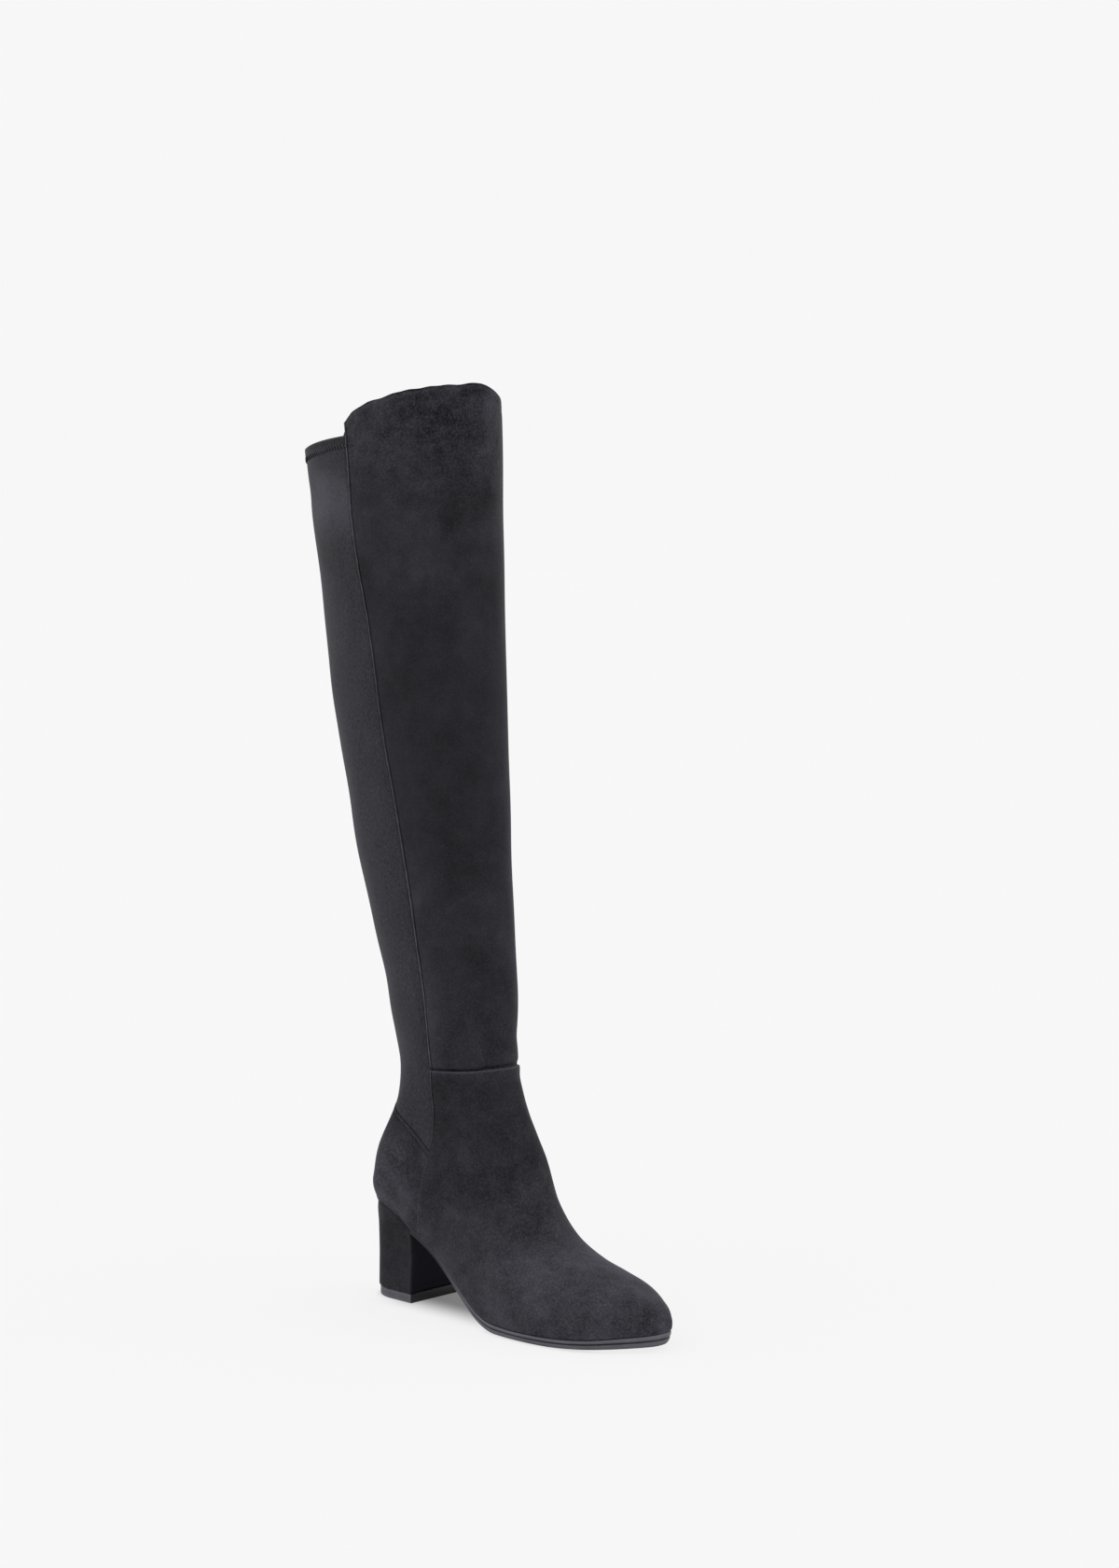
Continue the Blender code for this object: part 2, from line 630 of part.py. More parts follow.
def make_top_piece():
    back = BREAST_FOOT - HEEL_FOOT_LENGTH + TOP_PIECE_INSET
    half = HEEL_FOOT_WIDTH / 2 - TOP_PIECE_INSET
    levels = [
        (lambda x: 0.0, BREAST_FOOT - 0.7, back + 1.0, half - 0.8),
        (lambda x: 0.8, BREAST_FOOT, back, half),
        (lambda x: TOP_PIECE_THICK, BREAST_FOOT, back, half),
    ]
    return lofted("top_piece", heel_loops(levels), "rubber", caps=(True, False))


def seam_ribbon(name, finish, width, depths, low, high, across):
    """A ribbon along the inner side seam, between two depths below the outer surface."""
    loops = []
    for z in np.linspace(low, high, ZIP_STEPS):
        outside, inside = [], []
        for offset in np.linspace(-width / 2, width / 2, across + 1):
            point, normal = side_frame(seam_x(z) + offset, z, 1)
            outside.append(point - normal * depths[0])
            inside.append(point - normal * depths[1])
        loops.append(outside + inside[::-1])
    return lofted(name, loops, finish)


def slider_frame():
    """The slider's place: a point on the suede, the direction up the seam, the outward one and that across."""
    x = seam_x(SLIDER_Z)
    point, normal = side_frame(x, SLIDER_Z, 1)
    above, _ = side_frame(seam_x(SLIDER_Z + 4), SLIDER_Z + 4, 1)
    up = above - point
    up -= normal * (up @ normal)
    up /= np.linalg.norm(up)
    return point, up, normal, np.cross(up, normal)


def slab(name, frame, along_seam, out, width, finish=None):
    """A block on the slider's frame: its reach along the seam, its heights above the suede and its width."""
    point, up, normal, across = frame
    loops = []
    for c in (-width / 2, width / 2):
        corners = [(along_seam[0], out[0]), (along_seam[1], out[0]), (along_seam[1], out[1]), (along_seam[0], out[1])]
        loops.append([point + up * s + normal * n + across * c for s, n in corners])
    return lofted(name, loops, finish)


def make_slider(frame):
    half = SLIDER_LENGTH / 2
    slider = slab("zip_slider", frame, (-half, half), PLATE_OUT, SLIDER_WIDTH, "dark_metal")
    boolean(slider, slab("slider_inner_plate", frame, (-half + 1, half), PLATE_IN, SLIDER_WIDTH), "UNION")
    divider_out = (PLATE_IN[0] + 0.4, PLATE_OUT[1] - 0.4)
    boolean(slider, slab("slider_divider", frame, DIVIDER, divider_out, DIVIDER_WIDTH), "UNION")
    base = PLATE_OUT[1] - 0.4
    crown = PLATE_OUT[1] + BAIL_RISE + BAIL_THICK
    bail = slab("slider_bail", frame, (-BAIL_HALF, BAIL_HALF), (base, crown), BAIL_WIDTH)
    opening_half = BAIL_HALF - BAIL_THICK
    opening = slab(
        "slider_bail_opening", frame, (-opening_half, opening_half), (PLATE_OUT[1], crown - BAIL_THICK), 4.0
    )
    boolean(bail, opening, "DIFFERENCE")
    boolean(slider, bail, "UNION")
    return slider


def make_pull(frame):
    """The pull tab, hanging from the bail under its own weight; its origin is its hinge axis."""
    point, up, normal, across = frame
    hinge = point + normal * (PLATE_OUT[1] + BAIL_RISE / 2)
    down = np.array([0.0, 0.0, -1.0])
    down -= across * (down @ across)
    down /= np.linalg.norm(down)
    out = np.cross(across, down)
    if out @ normal < 0:
        out = -out
    half, window, thick = PULL_WIDTH / 2, WINDOW_WIDTH / 2, PULL_THICK / 2
    top, foot = -BAR / 2, PULL_LENGTH
    window_top, window_foot = BAR / 2, BAR / 2 + WINDOW_LENGTH
    corner = 1.2
    rim = [
        (top, -half), (top, half), (foot - corner, half), (foot, half - corner),
        (foot, corner - half), (foot - corner, -half),
    ]
    hole = [
        (window_top, -window), (window_top, window), (window_foot, window), (window_foot, window),
        (window_foot, -window), (window_foot, -window),
    ]
    vertices = []
    for loop, height in ((rim, thick), (hole, thick), (hole, -thick), (rim, -thick)):
        vertices += [down * s + across * c + out * height for s, c in loop]
    faces = []
    for k in range(4):
        for j in range(6):
            after, next_loop = (j + 1) % 6, (k + 1) % 4
            faces.append((k * 6 + j, k * 6 + after, next_loop * 6 + after, next_loop * 6 + j))
    pull = mesh_object("zip_pull", vertices, faces, "dark_metal")
    pull.location = [MM * c for c in hinge]
    return pull


def make_zip(upper, panel):
    frame = slider_frame()
    slot = across_boot("cut_slot", slot_outline(SLOT_WIDTH), 5, CLEAR)
    boolean(upper, slot, "DIFFERENCE")
    boolean(panel, slot, "DIFFERENCE")
    chain_top = SLIDER_Z + DIVIDER[0] - 0.5
    seam_ribbon("zip_chain", "dark_metal", CHAIN_WIDTH, CHAIN_DEPTHS, ZIP_FOOT + 1, chain_top, 2)
    tape = seam_ribbon("zip_tape", "tape", TAPE_WIDTH, TAPE_DEPTHS, ZIP_FOOT - 4, ZIP_TOP + 6, 4)
    notch = (DIVIDER[0] - GAP, DIVIDER[1] + GAP)
    notch_cutter = slab("cut_tape", frame, notch, (-6.0, 0.0), DIVIDER_WIDTH + 2 * GAP)
    boolean(tape, notch_cutter, "DIFFERENCE")
    make_slider(frame)
    make_pull(frame)


for leftover in list(bpy.data.objects):
    bpy.data.objects.remove(leftover)

boot_upper = make_upper()
boot_panel = make_back_panel()
make_outsole()
make_insole()
make_heel()
make_top_piece()
make_zip(boot_upper, boot_panel)
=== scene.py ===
import math

import bmesh
import bpy
import numpy as np
from mathutils import Matrix, Vector


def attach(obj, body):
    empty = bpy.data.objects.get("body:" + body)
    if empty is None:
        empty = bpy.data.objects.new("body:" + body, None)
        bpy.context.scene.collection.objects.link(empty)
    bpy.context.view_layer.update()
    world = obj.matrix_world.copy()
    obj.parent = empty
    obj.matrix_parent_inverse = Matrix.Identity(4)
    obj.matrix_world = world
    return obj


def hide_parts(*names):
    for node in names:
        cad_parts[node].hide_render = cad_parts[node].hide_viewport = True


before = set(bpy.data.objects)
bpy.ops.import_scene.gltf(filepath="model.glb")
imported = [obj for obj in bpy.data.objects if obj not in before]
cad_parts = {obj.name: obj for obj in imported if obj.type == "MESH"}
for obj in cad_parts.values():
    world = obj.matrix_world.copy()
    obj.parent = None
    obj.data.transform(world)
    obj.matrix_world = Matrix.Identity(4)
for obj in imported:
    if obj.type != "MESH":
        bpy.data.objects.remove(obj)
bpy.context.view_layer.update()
print("frame loaded")

# Lengths in this script are millimetres until a mesh is made.
metre = 0.001

# the boot's form
form = {
    "footLength": 239.2,  # along the line where the upper meets the sole
    "ballWidth": 77.0,
    "heelBack": -20.0,
    "toeSwing": 8.0,  # of the toe tip to the inner side
    "heelRound": (0.10, 2.1),
    "toeRound": (0.77, 2.3),
    "heelFade": 50.0,
    "onSole": 16,  # how many of the sections stand on the sole
}
# share of the foot's length, then outer and inner half-widths as shares of the ball's width
outline = (
    (0, 0.325, 0.325), (0.1, 0.33, 0.33), (0.2, 0.345, 0.325), (0.3, 0.352, 0.29), (0.4, 0.392, 0.295),
    (0.5, 0.455, 0.365), (0.6, 0.498, 0.458), (0.7, 0.502, 0.498), (0.8, 0.455, 0.462), (0.9, 0.37, 0.372),
    (1, 0.275, 0.275),
)
# from the toe up to the collar: lowX, lowZ, highX, highZ, outer, inner, widest, highRound
sections = (
    (219.2, 12, 219.2, 12, 0, 0, 0.4, 2.1), (218, 11.8, 217.6, 20, 7.5, 7.5, 0.38, 2.1),
    (212.4, 11, 211.4, 27, 14.8, 14.8, 0.36, 2.1), (201.6, 9.5, 200.4, 32.6, 23.4, 23.6, 0.34, 2.1),
    (186, 7.4, 185.4, 38.2, 33, 33.4, 0.32, 2.1), (167, 6, 167.4, 43.2, 38.8, 39, 0.3, 2.1),
    (146, 5.6, 149, 50.2, 41.6, 41, 0.28, 2), (124, 5.6, 130.4, 64.6, 41.5, 38.8, 0.27, 1.9),
    (103, 7.4, 116.4, 90.2, 38.6, 35.5, 0.28, 1.8), (83, 15.8, 110.4, 117, 35.2, 33.2, 0.31, 1.8),
    (62, 29.4, 99.6, 138, 32.8, 31.6, 0.35, 1.8), (40, 43.4, 93.8, 152, 31, 30.6, 0.4, 1.9),
    (18, 52.6, 92.2, 160.5, 30, 29.6, 0.44, 1.9), (-2, 57, 91.6, 166, 29.4, 29.2, 0.47, 2),
    (-14, 59.2, 92, 170, 29.2, 29, 0.49, 2), (-20, 60.6, 91.8, 174, 29.2, 29, 0.5, 2),
    (-21, 76, 91, 184, 29.4, 29.2, 0.5, 2), (-18.4, 92, 90.4, 193, 30, 29.8, 0.5, 2),
    (-8.2, 112, 89.4, 204, 31.2, 31, 0.5, 2), (-1, 131, 87.8, 214, 32.4, 32.4, 0.5, 2),
    (1, 149, 86.2, 225, 33.2, 33.2, 0.5, 2), (-4.8, 172, 84.6, 240, 34.5, 34.5, 0.5, 2),
    (-11.2, 203, 82.6, 260, 36.3, 36.3, 0.5, 2), (-22.6, 241, 80.6, 284, 38.5, 38.5, 0.5, 2),
    (-38, 290, 79.2, 318, 41.3, 41.3, 0.5, 2), (-52, 350, 75.6, 366, 44, 44, 0.5, 2),
    (-65.2, 418, 72.4, 424, 47, 47, 0.5, 2), (-80, 505, 69.8, 505, 50.5, 50.5, 0.5, 2),
    (-91.6, 590, 67, 590, 52.6, 52.6, 0.5, 2), (-95, 625, 64, 625, 53, 53, 0.5, 2),
)


def smoothCurve(knots, values):
    knots, values = np.asarray(knots, float), np.asarray(values, float)
    steps = np.diff(knots)
    rises = (np.diff(values, axis=0).T / steps).T
    slopes = np.empty_like(values)
    slopes[1:-1] = ((rises[:-1].T * steps[1:] + rises[1:].T * steps[:-1]) / (steps[1:] + steps[:-1])).T
    slopes[0] = rises[0] + (rises[0] - rises[1]) * steps[0] / (steps[0] + steps[1])
    slopes[-1] = rises[-1]

    def at(place):
        place = np.asarray(place, float)
        i = np.clip(np.searchsorted(knots, place, side="right") - 1, 0, len(steps) - 1)
        h, t = steps[i], (place - knots[i]) / steps[i]
        if values.ndim > 1:
            h, t = h[..., None], t[..., None]
        return (
            (1 + 2 * t) * (1 - t) ** 2 * values[i]
            + t * (1 - t) ** 2 * h * slopes[i]
            + t * t * (3 - 2 * t) * values[i + 1]
            + t * t * (t - 1) * h * slopes[i + 1]
        )

    return at


def columnsOf(table):
    return np.array(table, float).T


def walkedDown(points):
    # distance walked along a line, or along each column of a grid, from its first row
    steps = np.linalg.norm(np.diff(points, axis=0), axis=-1)
    return np.concatenate([np.zeros_like(steps[:1]), np.cumsum(steps, axis=0)])


def unit(vector):
    return vector / np.linalg.norm(vector)


def rounding(share, exponent):
    return (1 - np.clip(share, 0, 1) ** exponent) ** (1 / exponent)


outlineAlong, outlineOuter, outlineInner = columnsOf(outline)
outlineCurve = smoothCurve(outlineAlong, np.stack([outlineOuter, outlineInner], axis=1) * form["ballWidth"])


def feather(x):
    # half-widths of the line where upper and sole meet, outer and inner
    share = (x - form["heelBack"]) / form["footLength"]
    heelStart, heelPower = form["heelRound"]
    toeStart, toePower = form["toeRound"]
    ends = rounding((heelStart - share) / heelStart, heelPower)
    ends = ends * rounding((share - toeStart) / (1 - toeStart), toePower)
    return outlineCurve(np.clip(share, 0, 1)) * np.asarray(ends)[..., None]


def middleOf(x):
    return form["toeSwing"] * np.maximum(0.0, (x - 60) / (form["heelBack"] + form["footLength"] - 60)) ** 2


def featherSides(xs):
    # of each side of the feather line: its sign, y, and the level direction out of it
    sides = []
    for side, sign in ((0, -1), (1, 1)):
        ys = middleOf(xs) + sign * feather(xs)[:, side]
        dx, dy = np.gradient(xs), np.gradient(ys)
        length = np.hypot(dx, dy)
        sides.append((sign, ys, -sign * dy / length, sign * dx / length))
    return sides


def movedFeather(out):
    # the same line moved outwards by a distance, as half-widths at x, with its ends
    xs = form["heelBack"] + form["footLength"] * (1 - np.cos(np.linspace(0, np.pi, 241))) / 2
    moved = [(sign, xs + out * nx, ys + out * ny) for sign, ys, nx, ny in featherSides(xs)]

    def at(x):
        return np.array([max(0.0, sign * (np.interp(x, xs, ys) - middleOf(x))) for sign, xs, ys in moved])

    return at, min(xs[0] for _, xs, _ in moved), max(xs[-1] for _, xs, _ in moved)


# A place is a distance up the boot from the toe, halfway between the low and the high ends of its sections.
sectionRows = np.array(sections, float)
sectionPlaces = (walkedDown(sectionRows[:, :2]) + walkedDown(sectionRows[:, 2:4])) / 2
sectionCurve = smoothCurve(sectionPlaces, sectionRows)
lastOnSole = sectionPlaces[form["onSole"] - 1]
topPlace = sectionPlaces[-1]


def sideCurve(place, side, steps):
    # points from the sole or the back up to the ridge or the shin, evenly spaced
    row = sectionCurve(place)
    low, high, widest, highRound = row[0:2], row[2:4], row[6], row[7]
    onSole = place <= lastOnSole
    foot = feather(low[0])[side] if onSole else 0.0
    wide = max(row[4 + side], foot + 0.6)
    shift = 0.0 if onSole else form["heelBack"] - low[0]
    share = np.interp(place, (lastOnSole, lastOnSole + form["heelFade"]), (1, 0))
    length = max(float(np.hypot(*(high - low))), 1e-6)
    reach = widest * length
    turn = np.linspace(np.pi / 2, 0, 60)
    full = np.cos(turn)
    lowR = reach * (1 - np.sin(turn))
    x = low[0] + (high[0] - low[0]) * lowR / length + shift
    swell = np.minimum(feather(x)[..., side] * share, wide) * (1 - full)
    lowY = np.maximum(swell, foot * (1 - full)) + wide * full
    turn = np.linspace(0, np.pi / 2, 90)[1:]
    ys = np.concatenate([lowY, wide * np.cos(turn) ** (2 / highRound)])
    rs = np.concatenate([lowR, reach + (length - reach) * np.sin(turn) ** (2 / highRound)])
    walked = walkedDown(np.stack([ys, rs], axis=1))
    even = np.linspace(0, walked[-1], steps + 1)
    rs, ys = np.interp(even, walked, rs), np.interp(even, walked, ys)
    line = low + (high - low) * (rs / length)[:, None]
    return np.stack([line[:, 0], middleOf(low[0]) + (2 * side - 1) * ys, line[:, 1]], axis=1), walked[-1]


# The whole outer surface as one table: rows by place, columns by u, which goes from -1 at the outer side's
# low end over the ridge at 0 to 1 at the inner side's low end.
lattice = {"rows": 720, "side": 150, "pad": 3}  # pad: columns beyond each low end
tablePlaces = np.linspace(0, topPlace, lattice["rows"])
sideLengths = np.zeros((lattice["rows"], 2))
tableRows = []
for rowIndex, rowPlace in enumerate(tablePlaces):
    outerSide, sideLengths[rowIndex, 0] = sideCurve(rowPlace, 0, lattice["side"])
    innerSide, sideLengths[rowIndex, 1] = sideCurve(rowPlace, 1, lattice["side"])
    pad = lattice["pad"]
    if np.linalg.norm(outerSide[0] - innerSide[0]) < 0.05:
        before, after = innerSide[pad:0:-1], outerSide[1:pad + 1]
    else:
        steps = np.arange(pad, 0, -1)[:, None]
        before = outerSide[0] + (outerSide[0] - outerSide[1]) * steps
        after = innerSide[0] + (innerSide[0] - innerSide[1]) * steps[::-1]
    tableRows.append(np.concatenate([before, outerSide, innerSide[-2::-1], after]))
surfaceTable = np.array(tableRows)
print("surface table made")


def weights(t):
    # of four neighbours, for a smooth reading between the middle two
    return (
        ((-t + 2) * t - 1) * t / 2,
        ((3 * t - 5) * t * t + 2) / 2,
        ((-3 * t + 4) * t + 1) * t / 2,
        (t - 1) * t * t / 2,
    )


def surface(place, u):
    # smooth reading of the table
    p = np.clip(np.asarray(place, float) / topPlace, 0, 1) * (lattice["rows"] - 1)
    q = (np.asarray(u, float) + 1) * lattice["side"] + lattice["pad"]
    i = np.clip(np.floor(p).astype(int), 0, lattice["rows"] - 2)
    j = np.clip(np.floor(q).astype(int), 1, surfaceTable.shape[1] - 3)
    found = 0.0
    for a, rowWeight in enumerate(weights(p - i)):
        row = np.clip(i + a - 1, 0, lattice["rows"] - 1)
        for b, columnWeight in enumerate(weights(q - j)):
            column = np.clip(j + b - 1, 0, surfaceTable.shape[1] - 1)
            found = found + (rowWeight * columnWeight)[..., None] * surfaceTable[row, column]
    return found


def sideLength(place, side):
    return np.interp(place, tablePlaces, sideLengths[:, side])


# Seams and edges, seen from the side. The side seam as z, x, and how the outer one strays from it:
sideSeam = (
    (50, 39.5), (84, 42), (105, 46), (125, 48.6), (149, 49.2), (196, 46.6), (238, 41.8), (300, 31.4),
    (425, 9.8), (505, -5), (590, -15), (640, -20),
)
seamStray = (
    (40, -4), (68, -3.4), (86, -1.4), (100, 0.4), (112, 1.6), (126, 0.4), (144, -2), (165, -0.8), (200, 0),
    (240, -0.6), (278, 0.4), (320, 0.5), (385, -0.9), (420, 0.8), (452, 1.7), (485, 0.9), (515, 1),
    (545, 2.6), (640, 2.8),
)
# x, z
collarEdge = (
    (-14.5, 560), (-13.5, 568), (-10, 573.6), (-3, 579.9), (10, 586.9), (30, 593.6), (50, 598.2), (70, 602),
    (90, 605.4),
)
panelEdge = ((-140.0, 554.5), (-80.0, 559.2), (-62.0, 562.0), (-31.0, 566.0), (-11.5, 568.0))
cuts = {
    "collarLean": 3.5,  # degrees, down to the inner side
    "collarDrop": 1.4,
    "collarDips": ((0.5, -2.0, 10.0), (4.2, 4.0, 36.0)),  # each one's depth, and the y over which it comes in
    "collarPeak": (-4.0, 9.0, 1.5),  # y, half-width and rise at the shin
    "vFoot": 105.0,
    "vTop": 134.0,
    "vBack": -1.0,
    "vBend": 1.2,
    "vAcross": 0.85,  # from a height above the V to a distance across its edge
    "ankle": ((30.0, 157.6), (49.2, 157.6), (70.0, 158.6), (100.0, 162.6)),  # x, z
    "zipFoot": 72.0,
    "zipTop": 287.0,
    "zipHalf": 2.6,
    "zipRound": 3.0,  # length over which the slot closes at each end
    "waver": 0.12,  # of the side seams, as sewn
}
seamEnds = sideSeam[0][0], sideSeam[-1][0]
seamX = smoothCurve(*columnsOf(sideSeam))
strayX = smoothCurve(*columnsOf(seamStray))


def zipGap(z):
    # half-width of the slot for the zip, closing at both ends
    ends = np.clip(np.minimum(z - cuts["zipFoot"], cuts["zipTop"] - z) / cuts["zipRound"], 0, 1)
    return cuts["zipHalf"] * np.sqrt(ends * (2 - ends))


def seamShares(offset):
    # share of each side's length, from its low end, where a row meets the side seam moved by offset(z, side)
    found = np.zeros((lattice["rows"], 2))
    for side in (0, 1):
        first = lattice["pad"] + 2 * side * lattice["side"]
        columns = first + (1 - 2 * side) * np.arange(lattice["side"] + 1)
        for k, half in enumerate(surfaceTable[:, columns]):
            z = np.clip(half[:, 2], *seamEnds)
            line = seamX(z) + (1 - side) * strayX(z) + cuts["waver"] * np.sin(z / 2.3) * np.sin(z / 7.9)
            ahead = half[:, 0] - line - offset(half[:, 2], side)
            if ahead[0] >= 0:
                continue
            hit = int(np.argmax(ahead > 0))
            part = -ahead[hit - 1] / (ahead[hit] - ahead[hit - 1])
            found[k, side] = (hit - 1 + part) / lattice["side"] if hit else 1.0
    return found


frontShares = seamShares(lambda z, side: side * zipGap(z))
backShares = seamShares(lambda z, side: -side * zipGap(z))


def shareAt(shares, place, side):
    return np.interp(place, tablePlaces, shares[:, side])


def collarHeight(x, y):
    xs, zs = columnsOf(collarEdge)
    peak, wide, rise = cuts["collarPeak"]
    dip = cuts["collarDrop"] - rise * hump(y - peak, wide)
    dip = dip + sum(depth * smoothStep(y, start, full) for depth, start, full in cuts["collarDips"])
    ripple = 0.3 * np.sin(x / 5.3 + 1.0) * np.cos(y / 7.1) + 0.2 * np.sin(x / 2.7 + y / 3.1)
    lean = y * math.tan(math.radians(cuts["collarLean"]))
    return np.interp(x, xs, zs) - lean - dip * smoothStep(x, -10, 30) + ripple


def edgeHeight(table):
    xs, zs = columnsOf(table)
    curve = smoothCurve(xs, zs)
    return lambda x, y: curve(np.clip(x, xs[0], xs[-1]))


panelHeight, ankleHeight = edgeHeight(panelEdge), edgeHeight(cuts["ankle"])


def vHeight(x, y):
    foot, back = cuts["vFoot"], cuts["vBack"]
    share = np.clip((x - back) / (float(seamX(foot)) - back), 0, 1)
    return cuts["vTop"] + (foot - cuts["vTop"]) * share ** cuts["vBend"]


def smoothStep(value, low, high):
    t = np.clip((value - low) / (high - low), 0, 1)
    return t * t * (3 - 2 * t)


def framesAt(place, u):
    # points and outward normals of the outer surface
    place, u = np.asarray(place, float), np.asarray(u, float)
    ahead = surface(place + 0.4, u) - surface(place - 0.4, u)
    across = surface(place, u + 0.004) - surface(place, u - 0.004)
    normal = np.cross(across, ahead)
    length = np.linalg.norm(normal, axis=-1, keepdims=True)
    return surface(place, u), np.where(length > 1e-7, normal / np.maximum(length, 1e-7), (1.0, 0.0, 0.0))


# The mesh columns of a skin lie at fixed distances beside its edge and evenly over the rest, on both sides.
nearEdge = np.array([0.0, 0.12, 0.28, 0.5, 0.75, 1.05, 1.4, 1.75, 2.1, 2.5, 3.4, 5.2])


def skinColumns(count, joined=True):
    # of each column: distance from the edge, share of what is left, and side
    base = np.concatenate([nearEdge, np.full(count, nearEdge[-1])])
    share = np.concatenate([np.zeros(len(nearEdge)), np.linspace(0, 1, count + 1)[1:]])
    back = slice(-2, None, -1) if joined else slice(None, None, -1)
    pairs = (base, base), (share, share), (np.zeros(len(base), int), np.ones(len(base), int))
    return tuple(np.concatenate([outer, inner[back]]) for outer, inner in pairs)


def sideOf(columns, outer, inner):
    return np.where(columns[2] == 0, outer, inner)


def readColumns(place, columns, shares, front):
    # u of each column at its places, and its distance from the edge; a front skin lies ahead of its edge
    base, share, _ = columns
    edge = sideOf(columns, shareAt(shares, place, 0), shareAt(shares, place, 1))
    length = np.maximum(sideOf(columns, sideLength(place, 0), sideLength(place, 1)), 1e-6)
    span = length * ((1 - edge) if front else edge)
    scale = np.minimum(1.0, span / (3.2 * nearEdge[-1]))
    distance = base * scale + share * (span - nearEdge[-1] * scale)
    t = edge + distance / length if front else edge - distance / length
    return sideOf(columns, t - 1, 1 - t), distance


def crossing(columns, shares, front, height, start, end):
    # the place on each column where the surface reaches height(x, y)
    places = np.repeat(np.linspace(start, end, 900)[:, None], len(columns[0]), axis=1)
    points = surface(places, readColumns(places, columns, shares, front)[0])
    above = points[..., 2] - height(points[..., 0], points[..., 1])
    found = np.full(above.shape[1], float(end))
    for c in range(above.shape[1]):
        hit = int(np.argmax(above[:, c] > 0))
        if hit:
            part = -above[hit - 1, c] / (above[hit, c] - above[hit - 1, c])
            found[c] = places[hit - 1, c] + part * (places[hit, c] - places[hit - 1, c])
    return found


def spacedRows(first, last, spacings):
    # places from first to last, with the spacing read from (place, spacing) stops; as shares of the way
    starts, gaps = columnsOf(spacings)
    places = [first]
    while places[-1] < last:
        places.append(places[-1] + np.interp(places[-1], starts, gaps))
    places = np.array(places)
    return (places - first) / (places[-1] - first)


def closeRows(share, span):
    # the same rows, closer together by the edge that they end at
    near = np.array([5.0, 3.6, 2.6, 1.8, 1.2, 0.8, 0.5, 0.25, 0.1, 0.0])
    return np.concatenate([share[share < 1 - 6.5 / span], 1 - near / span])


def foldedRows(look, starts, ends):
    # rows up to a panel's edge, over its fold and down its facing; the depth of each; how many lie outside
    length = (ends - starts).mean()
    stops = (0, 8, length - 16, length - 4, length)
    share = spacedRows(0.0, length, tuple(zip(stops, look["gaps"])))
    main = starts + share[:, None] * (ends - look["fold"] - starts)
    turn = np.linspace(0, math.pi, look["turns"])[1:-1]
    fold = ends - look["fold"] * (1 - np.sin(turn))[:, None]
    inner = ends - look["fold"] - np.array(look["facing"])[:, None]
    depths = [0 * share, look["fold"] * (1 - np.cos(turn)), np.full(len(inner), 2 * look["fold"])]
    return np.concatenate([main, fold, inner]), np.concatenate(depths), len(main)


def rolledEdge(distance, radius, drop):
    # depth of an edge that turns down over a radius, to drop at the very edge
    inside = np.clip(1 - distance / radius, 0, 1)
    return drop * (1 - np.sqrt(np.maximum(1 - inside**2, 0)))


def hump(distance, width):
    return np.exp(-((distance / width) ** 2))


def bordered(grid, first=0.0, last=0.0):
    # a grid with one more column at each side
    before, after = (np.broadcast_to(side, grid[:, 0].shape)[:, None] for side in (first, last))
    return np.concatenate([before, grid, after], axis=1)


def underEdge(points, normals, wearAndShading):
    # one more row, below the last, which closes an edge
    return np.concatenate([points, points[-1:] - normals[-1:] * 0.9]), np.concatenate([wearAndShading, wearAndShading[-1:] * 0])


# Low down the two skins meet flush at a side seam; higher up the edge laps over the knit or the zip.
seamLap = {"outer": 96.0, "inner": 62.0, "fade": 9.0, "flush": 0.12}


def lappedAt(points, columns):
    start = sideOf(columns, seamLap["outer"], seamLap["inner"])
    lapped = smoothStep(points[..., 2], start, start + seamLap["fade"])
    return lapped, seamLap["flush"] + (1 - seamLap["flush"]) * lapped


# Beside a side seam the suede's turned edge wears light and carries a painted highlight where light catches
# its roll, and a sunk line of stitching runs along it, painted dark as shade in its groove.
edgeLook = {
    "light": (0.95, 0.6, 2.4),  # distance from the edge, half-width, amount
    "line": (2.25, 0.6, 1.0),
    "sunk": 0.2,
}


def seamWearAndShading(beside, z):
    (lightAt, lightHalf, light), (lineAt, lineHalf, line) = edgeLook["light"], edgeLook["line"]
    light = light * (0.8 + 0.35 * np.sin(z / 1.9) * np.sin(z / 5.3 + 1.0))
    return light * hump(beside - lightAt, lightHalf) - line * hump(beside - lineAt, lineHalf)


def seamSunk(beside):
    return edgeLook["sunk"] * hump(beside - edgeLook["line"][0], edgeLook["line"][1])
